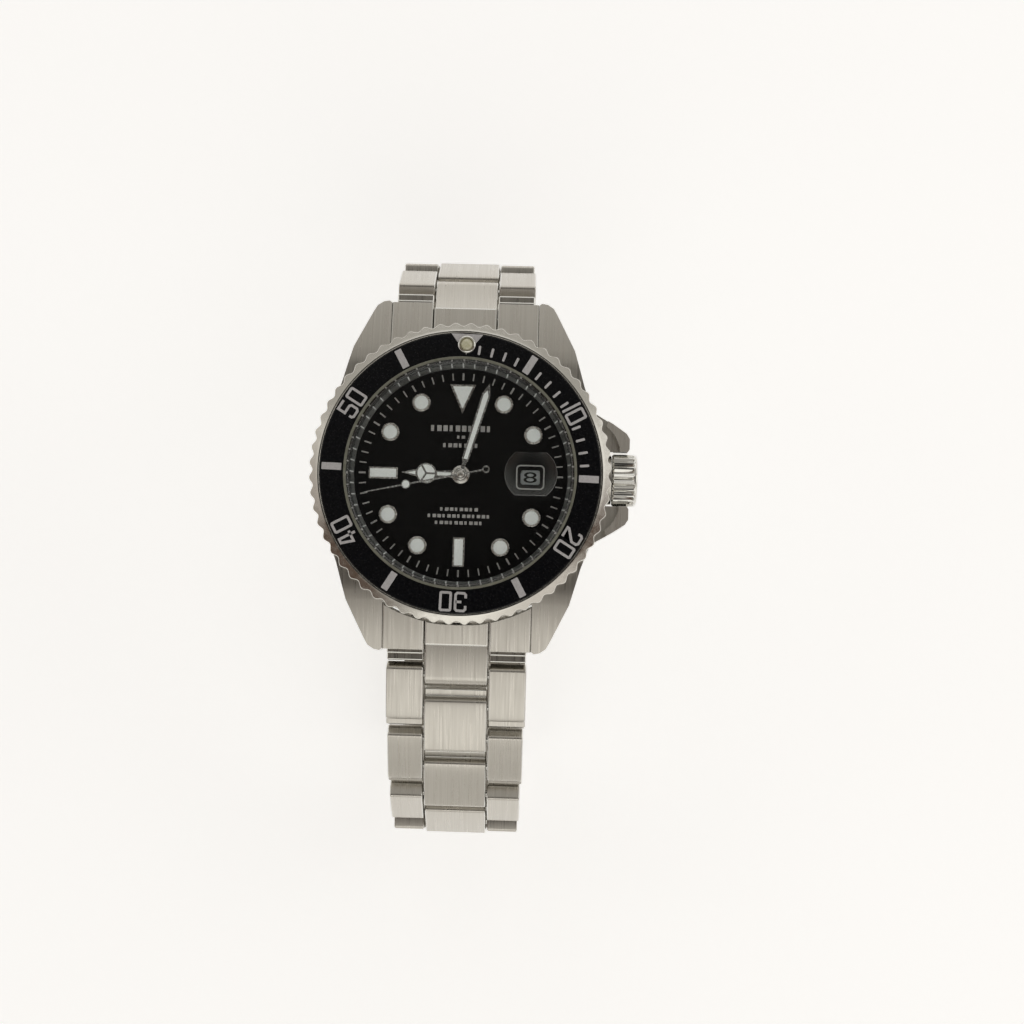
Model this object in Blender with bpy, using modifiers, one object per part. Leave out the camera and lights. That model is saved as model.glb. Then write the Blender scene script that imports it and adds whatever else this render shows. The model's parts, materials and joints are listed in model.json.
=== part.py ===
"""A steel dive watch on its closed three-link bracelet, one named solid for each piece.

The dial faces +Z, 12 o'clock points to +Y and the crown to +X. The dial's axis is x = y = 0, and the
watch stands on the outer face of its closed clasp, at z = 0. Sizes are millimetres, made metres by MM.
"""

import math

import bmesh
import bpy
from mathutils import Matrix, Vector

MM = 0.001
NAME = "dive_watch"

# ---- fits
SEAT = 0.08  # between two still pieces that seat on each other
RUN = 0.05  # between a shaft and its bore
CLEAR = 0.3  # between pieces that pass each other

# ---- case; heights are measured from the lug spring bars
BODY_R = 19.7
CASE_BOTTOM = -1.9
CASE_TOP = 4.6
CAVITY_R = 15.3
LUG_GAP = 19.9
LUG_TIP_Y = 23.6
LUG_TIP_TOP = 2.6
GUARD_X = 22.4
GUARD_CLEAR = 0.3  # between the crown and each guard

# ---- crystal, dial and bezel
CRYSTAL_R = 15.15
CRYSTAL_BOTTOM = 6.35
CRYSTAL_TOP = 8.2
GASKET_W = 0.3
NECK_WALL = 0.6
NECK_TOP = 7.0
DIAL_R = 15.1
DIAL_TOP = 3.6
DIAL_THICK = 0.4
DIAL_OPENING_R = 14.25
BEZEL_R = 20.0
BEZEL_HEIGHT = 2.9
BEZEL_SCALLOPS = 60
SCALLOP_DEPTH = 0.5
INSERT_OUT_R = 18.55
INSERT_THICK = 0.7
PEARL_R = 0.95
BEZEL_TURN = math.radians(-1.5)
SCALLOP_TURN = math.radians(-1.3)  # of the scallops against the scale

# ---- crown
CROWN_Z = 1.35
CROWN_R = 3.5
CROWN_LENGTH = 3.4
CROWN_FLUTES = 30
GUARD_GAP = 2 * (CROWN_R + GUARD_CLEAR)
TUBE_R = 1.5
TUBE_BORE_R = 1.1
STEM_R = 0.45
STEM_IN_X = 6.9

# ---- hands, as hour, minute and second of the time shown
HANDS_AT = (9, 2, 43)
HOUR_HAND = 7.8
MINUTE_HAND = 12.6
SECONDS_HAND = 13.0

# ---- movement
PLATE_R = 12.9
BATTERY_R = 4.75
BATTERY_AT = (3.9, -7.2)
THIRD_REACH = 3.4
ROTOR_REACH = 3.35
MOTION_REACH = 2.0
SECONDS_TEETH = 45
THIRD_TEETH = 45
CENTRE_TEETH = 48
PINION_TEETH = 6
CANNON_TEETH = 12
MOTION_TEETH = 36
MOTION_PINION_TEETH = 10
HOUR_TEETH = 40
WHEEL_THICK = 0.2
THIN_WHEEL = 0.12
PINION_THICK = 0.6

# ---- bracelet
BAR_R = 0.7
BAR_TIP_R = 0.4
BAR_TIP = 0.9
PITCH = 9.2
LINK_THICK = 3.2
LINK_RECESS = 2.0
CENTRE_W = 8.5
FIRST_LINK = 5.4
LUG_BAR_Y = BODY_R + LINK_THICK / 2  # the first link's round nose just clears the case
BRACELET_W = 19.4
CLASP_END_W = 16.4
PIN_R = 0.6
# angle below the horizontal of the first link and of each row, going down each side
FALL_12 = (35, 65, 85, 105, 130, 163, 172)
FALL_6 = (12, 20, 34, 62, 88, 112)
ROWS = 6

# ---- clasp
COVER_W = 18.6
COVER_SHEET = 0.8
COVER_ROOM = 2.6  # from the spring bar's axis to the inside of the cover's floor
COVER_WALL_UP = 1.9
BLADE_W = 10.0
BLADE_SHEET = 1.0
BUTTON_R = 1.6

STEEL = ("steel_satin", (0.60, 0.59, 0.55), 0.32, 1.0)
POLISHED = ("steel_polished", (0.72, 0.71, 0.68), 0.12, 1.0)
BLACK = ("black_gloss", (0.012, 0.013, 0.018), 0.10, 0.0)
DIAL_BLACK = ("dial_black", (0.015, 0.013, 0.013), 0.18, 0.0)
GREY = ("ring_grey", (0.24, 0.24, 0.25), 0.35, 0.6)
GLASS = ("crystal_glass", (0.92, 0.95, 0.96), 0.03, 0.0)
LUME = ("lume", (0.86, 0.85, 0.72), 0.5, 0.0)
BRASS = ("brass", (0.78, 0.62, 0.32), 0.3, 1.0)
NYLON = ("nylon_white", (0.85, 0.85, 0.82), 0.5, 0.0)
RUBBER = ("seal_rubber", (0.03, 0.03, 0.03), 0.8, 0.0)
BOARD = ("circuit_board", (0.05, 0.22, 0.12), 0.5, 0.0)
COPPER = ("copper_wire", (0.75, 0.38, 0.20), 0.35, 1.0)
PAPER_WHITE = ("date_white", (0.86, 0.86, 0.84), 0.6, 0.0)

# local X to Y, Y to Z and Z to X: turns a flat outline into a cross-section across the bracelet
CROSS = Matrix(((0, 0, 1, 0), (1, 0, 0, 0), (0, 1, 0, 0), (0, 0, 0, 1)))
ALONG_X = Matrix.Rotation(math.pi / 2, 4, "Y")


def clear_scene():
    for old in list(bpy.data.objects):
        bpy.data.objects.remove(old, do_unlink=True)


def new_collection(name, helpers=False):
    made = bpy.data.collections.new(name)
    bpy.context.scene.collection.children.link(made)
    made.hide_render = helpers
    return made


def finish(look):
    name, colour, roughness, metallic = look
    found = bpy.data.materials.get(name)
    if found:
        return found
    made = bpy.data.materials.new(name)
    made.use_nodes = True
    shader = made.node_tree.nodes["Principled BSDF"]
    shader.inputs["Base Color"].default_value = (*colour, 1.0)
    shader.inputs["Roughness"].default_value = roughness
    shader.inputs["Metallic"].default_value = metallic
    made.diffuse_color = (*colour, 1.0)
    return made


def polar(radius, angle):
    return (radius * math.cos(angle), radius * math.sin(angle))


def circle(radius, count=48, at=(0.0, 0.0)):
    steps = [polar(radius, math.tau * k / count) for k in range(count)]
    return [(at[0] + x, at[1] + y) for x, y in steps]


def arc(radius, start, end, count, at=(0.0, 0.0)):
    """Points on an arc, angles in degrees."""
    turns = [math.radians(start + (end - start) * k / count) for k in range(count + 1)]
    return [(at[0] + radius * math.cos(a), at[1] + radius * math.sin(a)) for a in turns]


def flat_mesh(name, outline, thick, holes=(), base=0.0):
    """A mesh of a flat outline, with holes, extruded upwards from base."""
    curve = bpy.data.curves.new(name, "CURVE")
    curve.dimensions = "2D"
    curve.fill_mode = "BOTH"
    curve.extrude = thick * MM / 2
    for loop in (outline, *holes):
        spline = curve.splines.new("POLY")
        spline.points.add(len(loop) - 1)
        for point, (x, y) in zip(spline.points, loop):
            point.co = (x * MM, y * MM, 0.0, 1.0)
        spline.use_cyclic_u = True
    holder = bpy.data.objects.new(name, curve)
    bpy.context.scene.collection.objects.link(holder)
    graph = bpy.context.evaluated_depsgraph_get()
    mesh = bpy.data.meshes.new_from_object(holder.evaluated_get(graph))
    bpy.data.objects.remove(holder, do_unlink=True)
    bpy.data.curves.remove(curve)
    work = bmesh.new()
    work.from_mesh(mesh)
    bmesh.ops.remove_doubles(work, verts=work.verts, dist=1e-7)
    bmesh.ops.recalc_face_normals(work, faces=work.faces)
    bmesh.ops.translate(work, verts=work.verts, vec=(0, 0, (base + thick / 2) * MM))
    work.to_mesh(mesh)
    work.free()
    mesh.materials.clear()
    return mesh


def rod_mesh(name, radius, start, end, count=16):
    """A cylinder along X from start to end."""
    work = bmesh.new()
    middle = Matrix.Translation(((start + end) / 2 * MM, 0, 0))
    bmesh.ops.create_cone(
        work,
        cap_ends=True,
        segments=count,
        radius1=radius * MM,
        radius2=radius * MM,
        depth=(end - start) * MM,
        matrix=middle @ ALONG_X,
    )
    return finished(work, name)


def box_mesh(name, low, high):
    work = bmesh.new()
    size = [(b - a) * MM for a, b in zip(low, high)]
    middle = [(a + b) / 2 * MM for a, b in zip(low, high)]
    bmesh.ops.create_cube(work, size=1.0, matrix=Matrix.Translation(middle) @ Matrix.Diagonal((*size, 1)))
    return finished(work, name)


def finished(work, name):
    mesh = bpy.data.meshes.new(name)
    work.to_mesh(mesh)
    work.free()
    return mesh


def joined(name, *meshes):
    """One mesh of several solids that stay apart."""
    work = bmesh.new()
    for mesh in meshes:
        work.from_mesh(mesh)
    return finished(work, name)


def moved(mesh, by):
    mesh.transform(by)
    return mesh


def across(name, outline, start, end, holes=()):
    """A cross-section in Y and Z, extruded along X from start to end."""
    return moved(flat_mesh(name, outline, end - start, holes, base=start), CROSS)


def place(name, mesh, look, collection, at=(0, 0, 0), turn=(0, 0, 0)):
    made = bpy.data.objects.new(name, mesh)
    made.location = Vector(at) * MM
    made.rotation_euler = turn
    if look:
        mesh.materials.append(finish(look))
    collection.objects.link(made)
    return made


class Builder:
    """Places pieces in the watch's collection and their tools in another."""

    def __init__(self):
        self.parts = new_collection(NAME)
        self.tools = new_collection(NAME + "_tools", helpers=True)

    def part(self, name, mesh, look, at=(0, 0, 0), turn=(0, 0, 0)):
        return place(name, mesh, look, self.parts, at, turn)

    def tool(self, name, mesh, at=(0, 0, 0), turn=(0, 0, 0)):
        made = place(name, mesh, None, self.tools, at, turn)
        made.display_type = "WIRE"
        made.hide_render = True
        return made

    def combine(self, part, tool, operation):
        change = part.modifiers.new(tool.name, "BOOLEAN")
        change.operation = operation
        change.solver = "EXACT"
        change.object = tool

    def cut(self, part, mesh, at=(0, 0, 0), turn=(0, 0, 0)):
        self.combine(part, self.tool(part.name + "_cut", mesh, at, turn), "DIFFERENCE")

    def add(self, part, mesh, at=(0, 0, 0), turn=(0, 0, 0)):
        self.combine(part, self.tool(part.name + "_add", mesh, at, turn), "UNION")

    def turned(self, name, profile, look, at=(0, 0, 0), turn=(0, 0, 0), steps=48):
        """A profile of (radius, height) points, down the outer side first, turned about local Z."""
        ring = profile[0][0] > 0 and profile[-1][0] > 0
        edges = [(k, k + 1) for k in range(len(profile) - 1)]
        if ring:
            edges.append((len(profile) - 1, 0))
        mesh = bpy.data.meshes.new(name)
        mesh.from_pydata([(r * MM, 0, z * MM) for r, z in profile], edges, [])
        part = self.part(name, mesh, look, at, turn)
        screw = part.modifiers.new("turn", "SCREW")
        screw.axis = "Z"
        screw.angle = math.tau
        screw.steps = steps
        screw.render_steps = steps
        screw.use_merge_vertices = True
        screw.merge_threshold = 1e-6
        screw.use_smooth_shade = False
        return part


def ring_profile(inner, outer, bottom, top):
    return [(outer, top), (outer, bottom), (inner, bottom), (inner, top)]


def scalloped(radius, depth, count, turn=0.0):
    """A round outline with shallow scallops cut into it; a peak stands at the turn."""
    points = []
    step = math.tau / count
    for k in range(count):
        peak = turn + k * step
        points.append(polar(radius, peak - 0.16 * step))
        points.append(polar(radius, peak + 0.16 * step))
        points.append(polar(radius - depth, peak + 0.38 * step))
        points.append(polar(radius - depth, peak + 0.62 * step))
    return points


# ---- the bracelet's path, in the plane x = 0, measured from the case's middle and the lug bars


def down_the_side(side, falls):
    """Pivots (y, z) and fall angles of the first link and of each row; side is 1 at 12 and -1 at 6."""
    y, z = LUG_BAR_Y, 0.0
    path = []
    for k, fall in enumerate(falls):
        path.append((side * y, z, fall))
        reach = FIRST_LINK if k == 0 else PITCH
        y += reach * math.cos(math.radians(fall))
        z -= reach * math.sin(math.radians(fall))
    return path, (side * y, z)


def both_sides():
    path_12, end_12 = down_the_side(1, FALL_12)
    above, last = down_the_side(-1, FALL_6)
    drop = (last[1] - end_12[1]) / PITCH
    final = 180 - math.degrees(math.asin(drop))
    path_6, end_6 = down_the_side(-1, (*FALL_6, final))
    return path_12, end_12, path_6, end_6


PATH_12, CLASP_BAR, PATH_6, STRAND_END = both_sides()
CLASP_SPAN = CLASP_BAR[0] - STRAND_END[0]
LUG_Z = COVER_ROOM + COVER_SHEET - CLASP_BAR[1]


def head(height):
    """World height of a level given from the lug spring bars."""
    return height + LUG_Z


# ---- case

NECK_IN_R = CRYSTAL_R + RUN + GASKET_W + RUN
NECK_OUT_R = NECK_IN_R + NECK_WALL
LEDGE_R = CRYSTAL_R - 0.2


def case_outline():
    """The case from above: round body, four lugs and two crown guards, anticlockwise from the crown."""
    inner = LUG_GAP / 2
    lug = [(16.2, 12.2), (14.8, 17.0), (11.9, LUG_TIP_Y - 0.7), (inner + 0.2, LUG_TIP_Y)]
    guard = GUARD_GAP / 2
    body = math.degrees(math.asin(inner / BODY_R))
    foot = math.degrees(math.atan2(12.2, 16.2))
    right = [(GUARD_X, guard), (GUARD_X, guard + 1.7), (GUARD_X - 0.5, guard + 2.35)]
    right += [(GUARD_X - 2.3, guard + 3.4), (GUARD_X - 3.9, guard + 4.4)]
    flank = math.degrees(math.asin(guard / (BODY_R - 0.2)))
    crown_side = arc(BODY_R - 0.2, -flank, flank, 4) + right
    upper = [*lug, (inner, LUG_TIP_Y - 0.2)]
    between = arc(BODY_R, 90 - body, 90 + body, 12)
    points = crown_side + upper + between
    points += [(-x, y) for x, y in reversed(upper)]
    points += arc(BODY_R, 180 - foot + 8, 180 + foot - 8, 16)
    points += [(-x, -y) for x, y in upper]
    points += [(x, -y) for x, y in reversed(between)]
    points += [(x, -y) for x, y in reversed(upper)]
    points += [(x, -y) for x, y in reversed(right)]
    return points


def lug_slopes(build, part):
    """Takes the lugs' upper sides down from the case's top to the lug tips, at both ends."""
    start = 15.5
    fall = math.atan2(CASE_TOP - LUG_TIP_TOP, LUG_TIP_Y - start)
    for side, name in ((1, "12"), (-1, "6")):
        wedge = box_mesh("slope_" + name, (-20, 0, 0), (20, 20, 12))
        turn = (-fall, 0, 0 if side > 0 else math.pi)
        build.cut(part, wedge, (0, side * start, head(CASE_TOP)), turn)


def make_case(build):
    case = build.part(
        "case_middle",
        flat_mesh("case_middle", case_outline(), CASE_TOP - CASE_BOTTOM, [circle(LEDGE_R, 48)], CASE_BOTTOM),
        STEEL,
        (0, 0, head(0)),
    )
    neck_wall = circle(NECK_OUT_R, 48)
    neck = flat_mesh("neck", neck_wall, NECK_TOP - CASE_TOP + 1, [circle(NECK_IN_R, 48)], CASE_TOP - 1)
    lug_slopes(build, case)
    build.add(case, neck, (0, 0, head(0)))
    cavity = flat_mesh("cavity", circle(CAVITY_R, 48), DIAL_TOP - CASE_BOTTOM + 1, (), CASE_BOTTOM - 1)
    build.cut(case, cavity, (0, 0, head(0)))
    seat = flat_mesh("crystal_seat", circle(NECK_IN_R, 48), 3, (), CRYSTAL_BOTTOM - SEAT)
    build.cut(case, seat, (0, 0, head(0)))
    build.cut(case, rod_mesh("tube_hole", TUBE_R + RUN, 12, 26, 24), (0, 0, head(CROWN_Z)))
    reach = 2 * (LUG_GAP / 2 + BAR_TIP + 0.1)
    for side, name in ((1, "12"), (-1, "6")):
        holes = rod_mesh("bar_holes_" + name, BAR_TIP_R + RUN, -reach / 2, reach / 2)
        build.cut(case, holes, (0, side * LUG_BAR_Y, head(0)))

    lip = CAVITY_R - 0.1
    back_top = CASE_BOTTOM - SEAT
    groove = (lip + 0.35, lip + 1.15)
    back = [
        (0, back_top - 0.45),
        (lip - 0.8, back_top - 0.45),
        (lip - 0.8, back_top + 0.6),
        (lip, back_top + 0.6),
        (lip, back_top),
        (groove[0], back_top),
        (groove[0], back_top - 0.5),
        (groove[1], back_top - 0.5),
        (groove[1], back_top),
        (BODY_R - 2.5, back_top),
        (BODY_R - 2.5, back_top - 0.7),
        (BODY_R - 3.1, back_top - 1.15),
        (0, back_top - 1.15),
    ]
    build.turned("case_back", back, STEEL, (0, 0, head(0)), steps=48)
    seal = ring_profile(groove[0] + RUN, groove[1] - RUN, back_top - 0.5 + RUN, back_top)
    build.turned("case_back_gasket", seal, RUBBER, (0, 0, head(0)))

    click = ring_profile(NECK_OUT_R + 0.6, NECK_OUT_R + 1.9, CASE_TOP + SEAT, CASE_TOP + SEAT + 0.15)
    build.turned("bezel_click_spring", click, POLISHED, (0, 0, head(0)))


def make_crystal(build):
    corner = 0.25
    glass = [
        (0, CRYSTAL_TOP),
        (CRYSTAL_R - corner, CRYSTAL_TOP),
        (CRYSTAL_R, CRYSTAL_TOP - corner),
        (CRYSTAL_R, CRYSTAL_BOTTOM),
        (0, CRYSTAL_BOTTOM),
    ]
    build.turned("crystal", glass, GLASS, (0, 0, head(0)), steps=48)
    seal = ring_profile(CRYSTAL_R + RUN, CRYSTAL_R + RUN + GASKET_W, CRYSTAL_BOTTOM, NECK_TOP)
    build.turned("crystal_gasket", seal, NYLON, (0, 0, head(0)), steps=48)
    lens = arc(3.5, -53, 53, 6, (-0.1, 0)) + arc(3.5, 127, 233, 6, (0.1, 0))
    magnifier = build.part(
        "date_lens",
        flat_mesh("date_lens", lens, 0.75),
        GLASS,
        (9.35, 0, head(CRYSTAL_TOP + SEAT)),
    )
    magnifier.modifiers.new("edge", "BEVEL").width = 0.2 * MM

    rehaut = [
        (LEDGE_R - SEAT, CRYSTAL_BOTTOM - 2 * SEAT),
        (LEDGE_R - SEAT, DIAL_TOP + SEAT),
        (DIAL_OPENING_R, DIAL_TOP + SEAT),
        (LEDGE_R - 0.25, CRYSTAL_BOTTOM - 2 * SEAT),
    ]
    build.turned("chapter_ring", rehaut, GREY, (0, 0, head(0)), steps=48)


def make_bezel(build):
    bottom = CASE_TOP + 0.3
    top = bottom + BEZEL_HEIGHT
    rest = top - INSERT_THICK
    turn = (0, 0, BEZEL_TURN)
    outline = scalloped(BEZEL_R, SCALLOP_DEPTH, BEZEL_SCALLOPS, SCALLOP_TURN)
    ring = build.part(
        "bezel_ring",
        flat_mesh("bezel_ring", outline, BEZEL_HEIGHT, [circle(NECK_OUT_R + 0.1, 48)], bottom),
        POLISHED,
        (0, 0, head(0)),
        turn,
    )
    rebate = flat_mesh("rebate", circle(INSERT_OUT_R + SEAT, 48), 2, (), rest - SEAT)
    build.cut(ring, rebate, (0, 0, head(0)), turn)
    pearl_r = (INSERT_OUT_R + CRYSTAL_R) / 2
    holes = [circle(CRYSTAL_R + 0.2, 48), circle(PEARL_R + RUN, 24, (0, pearl_r))]
    insert = flat_mesh("bezel_insert", circle(INSERT_OUT_R, 48), INSERT_THICK, holes, rest)
    build.part("bezel_insert", insert, BLACK, (0, 0, head(0)), turn)
    pearl = flat_mesh("bezel_pearl", circle(PEARL_R, 24, (0, pearl_r)), INSERT_THICK + 0.2, (), rest)
    build.part("bezel_pearl", pearl, LUME, (0, 0, head(0)), turn)


def make_crown(build):
    at = (0, 0, head(CROWN_Z))
    crown_x = BODY_R + 0.45
    tube_end = crown_x + 1.6
    wall = circle(TUBE_R, 24)
    tube = flat_mesh("crown_tube", wall, tube_end - CAVITY_R, [circle(TUBE_BORE_R, 24)], CAVITY_R)
    build.part("crown_tube", moved(tube, ALONG_X), STEEL, at)
    fluted = scalloped(CROWN_R, 0.35, CROWN_FLUTES)
    crown = build.part(
        "crown", moved(flat_mesh("crown", fluted, CROWN_LENGTH, (), crown_x), ALONG_X), POLISHED, at
    )
    build.cut(crown, rod_mesh("crown_bore", TUBE_R + 0.25, crown_x - 1, tube_end + 0.2, 24), at)
    stem = build.part("stem", rod_mesh("stem", STEM_R, STEM_IN_X, tube_end + 0.1), POLISHED, at)
    build.add(stem, rod_mesh("stem_head", STEM_R + 0.3, STEM_IN_X - 0.6, STEM_IN_X + 0.3), at)
    clutch_bore = circle(STEM_R + RUN, 16)
    clutch = flat_mesh("clutch_wheel", scalloped(1.1, 0.25, 10), 0.9, [clutch_bore], STEM_IN_X + 0.5)
    build.part("clutch_wheel", moved(clutch, ALONG_X), BRASS, at)
    # the lever rides with the stem and stays inside the movement holder when the crown is out
    near = STEM_IN_X + 1.6
    far = near + 2.4
    lever = flat_mesh(
        "setting_lever",
        [(near, 1.0), (far, 1.0), (far, 2.3), (near + 1.0, 2.8), (near, 2.0)],
        0.3,
        (),
        CROWN_Z - 0.15,
    )
    build.part("setting_lever", lever, POLISHED, (0, 0, head(0)))


# ---- dial and hands


def dial_markers():
    """The raised hour markers, as one mesh of separate solids that start inside the dial."""
    thick = 0.5
    base = DIAL_TOP - 0.2
    made = []
    for hour in (1, 2, 4, 5, 7, 8, 10, 11):
        at = polar(11.05, math.radians(90 - 30 * hour))
        made.append(flat_mesh("dot", circle(1.23, 12, at), thick, (), base))
    wedge = [(-1.72, 12.1), (0, 8.3), (1.72, 12.1)]
    made.append(flat_mesh("wedge", wedge, thick, (), base))
    bar = [(-0.78, 8.4), (0.78, 8.4), (0.78, 12.3), (-0.78, 12.3)]
    for hour in (6, 9):
        turn = Matrix.Rotation(math.radians(-30 * hour), 4, "Z")
        made.append(moved(flat_mesh("bar", bar, thick, (), base), turn))
    return joined("markers", *made)


def make_dial(build):
    window = [(7.9, -1.15), (10.7, -1.15), (10.7, 1.15), (7.9, 1.15)]
    holes = [circle(1.1, 24), window]
    disc = flat_mesh("dial", circle(DIAL_R, 48), DIAL_THICK, holes, DIAL_TOP - DIAL_THICK)
    dial = build.part("dial", disc, DIAL_BLACK, (0, 0, head(0)))
    build.add(dial, dial_markers(), (0, 0, head(0)))
    hours, minutes, seconds = HANDS_AT
    turns = (
        hours / 12 + minutes / 720,
        minutes / 60 + seconds / 3600,
        seconds / 60,
    )
    hour = [(-0.25, 0.9), (-0.4, 3.2), (-1.3, 4.5), (-0.6, 5.9), (0, HOUR_HAND)]
    minute = [(-0.4, 0.4), (-0.55, 1.8), (-0.55, 11.2), (0, MINUTE_HAND)]
    second = [(-0.15, 0.2), (-0.12, 6.7), (-0.56, 7.2), (-0.56, 7.7), (-0.1, 8.2), (-0.05, SECONDS_HAND)]
    tail = [(0.1, -4.2), (-0.1, -4.2)]
    shapes = (
        ("hour_hand", hour, [], 3.95, 1.25, 0.95, turns[0]),
        ("minute_hand", minute, [], 4.4, 0.85, 0.65, turns[1]),
        ("seconds_hand", second, tail, 4.85, 0.55, 0.25, turns[2]),
    )
    for name, half, tip, level, hub, bore, turn in shapes:
        outline = half + [(-x, y) for x, y in reversed(half) if x < 0] + tip
        mesh = flat_mesh(name, outline, 0.15, (), level)
        hand = build.part(name, mesh, POLISHED, (0, 0, head(0)), (0, 0, -math.tau * turn))
        build.add(hand, flat_mesh("hub", circle(hub, 24), 0.25, (), level - 0.05), (0, 0, head(0)))
        build.cut(hand, flat_mesh("bore", circle(bore + RUN, 24), 2, (), level - 1), (0, 0, head(0)))


# ---- movement: levels from the lug bars, top to bottom

THIRD_AT = polar(THIRD_REACH, math.radians(200))
ROTOR_AT = polar(ROTOR_REACH, math.radians(95))
MOTION_AT = polar(MOTION_REACH, math.radians(300))


def gear(name, teeth, centres, both, base, thick):
    """A toothed disc; its pitch radius is its share of the distance between the two shafts."""
    radius = centres * teeth / both
    points = []
    for k in range(teeth):
        at = math.tau * k / teeth
        points.append(polar(radius - 0.09, at))
        points.append(polar(radius + 0.03, at + math.pi / teeth))
    return flat_mesh(name, points, thick, (), base)


def arbor(build, part, radius, bottom, top, at=(0.0, 0.0)):
    shaft = flat_mesh("arbor", circle(radius, 16), top - bottom, (), bottom)
    build.add(part, shaft, (*at, head(0)))


def wheel(build, name, teeth, centres, both, base, thick, at=(0.0, 0.0)):
    return build.part(name, gear(name, teeth, centres, both, base, thick), BRASS, (*at, head(0)))


def pinion(build, part, teeth, centres, both, base, thick, at=(0.0, 0.0)):
    build.add(part, gear("pinion", teeth, centres, both, base, thick), (*at, head(0)))


def bore(build, part, radius):
    build.cut(part, flat_mesh("bore", circle(radius, 16), 6, (), 0), (0, 0, head(0)))


def make_wheels(build):
    fast = SECONDS_TEETH + PINION_TEETH
    slow = CENTRE_TEETH + PINION_TEETH
    motion_teeth = CANNON_TEETH + MOTION_TEETH
    hour_teeth = MOTION_PINION_TEETH + HOUR_TEETH
    seconds = wheel(build, "seconds_wheel", SECONDS_TEETH, ROTOR_REACH, fast, 0.3, WHEEL_THICK)
    pinion(build, seconds, PINION_TEETH, THIRD_REACH, THIRD_TEETH + PINION_TEETH, 0.6, PINION_THICK)
    arbor(build, seconds, 0.2, -0.3, 5.0)
    third = wheel(
        build, "third_wheel", THIRD_TEETH, THIRD_REACH, THIRD_TEETH + PINION_TEETH, 0.8, WHEEL_THICK, THIRD_AT
    )
    pinion(build, third, PINION_TEETH, THIRD_REACH, slow, 1.1, PINION_THICK, THIRD_AT)
    arbor(build, third, 0.15, -0.3, 1.85, THIRD_AT)
    centre = wheel(build, "centre_wheel", CENTRE_TEETH, THIRD_REACH, slow, 1.45, WHEEL_THICK)
    arbor(build, centre, 0.38, 1.35, 3.3)
    pinion(build, centre, CANNON_TEETH, MOTION_REACH, motion_teeth, 2.85, 0.25)
    arbor(build, centre, 0.65, 3.2, 4.6)
    bore(build, centre, 0.25)
    motion = wheel(
        build, "minute_wheel", MOTION_TEETH, MOTION_REACH, motion_teeth, 2.85, THIN_WHEEL, MOTION_AT
    )
    pinion(build, motion, MOTION_PINION_TEETH, MOTION_REACH, hour_teeth, 2.9, 0.25, MOTION_AT)
    hour = wheel(build, "hour_wheel", HOUR_TEETH, MOTION_REACH, hour_teeth, 3.02, THIN_WHEEL)
    arbor(build, hour, 0.95, 3.1, 4.1)
    bore(build, hour, 0.75)
    magnet = flat_mesh("rotor", circle(0.75, 16), 0.5, (), 0.7)
    rotor = build.part("rotor", magnet, POLISHED, (*ROTOR_AT, head(0)))
    pinion(build, rotor, PINION_TEETH, ROTOR_REACH, fast, 0.2, PINION_THICK, ROTOR_AT)


def make_movement(build):
    level = (0, 0, head(0))
    slot = [(6.0, -1.4), (16, -1.4), (16, 1.4), (6.0, 1.4)]
    holder = build.part(
        "movement_holder",
        flat_mesh("movement_holder", circle(CAVITY_R - 0.15), 3.9, [circle(PLATE_R + 0.4)], -0.9),
        NYLON,
        level,
    )
    build.cut(holder, flat_mesh("stem_slot", slot, 8, (), -3), level)
    plate = build.part(
        "main_plate", flat_mesh("main_plate", circle(PLATE_R), 0.75, [circle(0.7, 24)], 1.95), BRASS, level
    )
    build.cut(plate, flat_mesh("stem_slot", slot, 8, (), -3), level)
    ring = flat_mesh("date_ring", circle(12.6), 0.15, [scalloped(8.3, -0.35, 31)[::-1]], 2.92)
    build.part("date_ring", ring, PAPER_WHITE, level)
    battery = [(BATTERY_R - 0.4, 1.5), (BATTERY_R, 1.2), (BATTERY_R, -1.0), (0, -1.0)]
    build.turned("battery", [(0, 1.5), *battery], POLISHED, (*BATTERY_AT, head(0)), steps=32)

    magnet_hole = circle(1.0, 24, ROTOR_AT)
    x = ROTOR_AT[0]
    y = ROTOR_AT[1]
    frame = [(x + 2, y - 1.15), (x + 2, y + 1.2), (x - 1.9, y + 1.2), (x - 1.9, y + 5.2)]
    frame += [(-8.6, y + 5.2), (-8.6, y - 0.2), (x - 3.2, y - 1.15)]
    window = [(x - 3.0, y + 1.6), (x - 3.0, y + 4.4), (-7.6, y + 4.4), (-7.6, y + 1.6)]
    stator = flat_mesh("stator", frame, 0.25, [magnet_hole, window], 0.95)
    build.part("stator", stator, POLISHED, level)
    wire = flat_mesh("coil", circle(0.8, 20), 2.2, [circle(0.5, 12)], -1.1)
    middle = ((-7.6 + x - 3.0) / 2, y + 4.8, head(1.075))
    build.part("coil", moved(wire, ALONG_X), COPPER, middle)
    bridge = [(-6.2, -3.4), (2.6, -1.6), (2.6, 4.8), (-5.4, 4.8)]
    build.part("train_bridge", flat_mesh("train_bridge", bridge, 0.4, (), -0.8), BRASS, level)
    board = [(3.2, 3.2), (11.6, 3.2), (9.0, 8.6), (3.2, 12.0)]
    build.part("circuit_board", flat_mesh("circuit_board", board, 0.25, (), -0.7), BOARD, level)


# ---- bracelet


def link_outline(reach):
    """A link from its pin's axis at 0 to its far end, with the low tongue that fills the next recess."""
    half = LINK_THICK / 2
    far = reach - half - LINK_RECESS
    tip = reach - half - CLEAR
    round_end = arc(half, 90, 270, 8)
    corner = arc(0.7, 0, 90, 2, (far - 0.7, half - 0.7))
    low = -half * 0.5
    high = half * 0.3
    tongue = [(far - 0.6, -half), (far, low), (tip, low), (tip, high), (far, high)]
    return round_end + tongue + corner


def turned_about(side, fall):
    return (-math.radians(fall), 0, 0 if side > 0 else math.pi)


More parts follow.
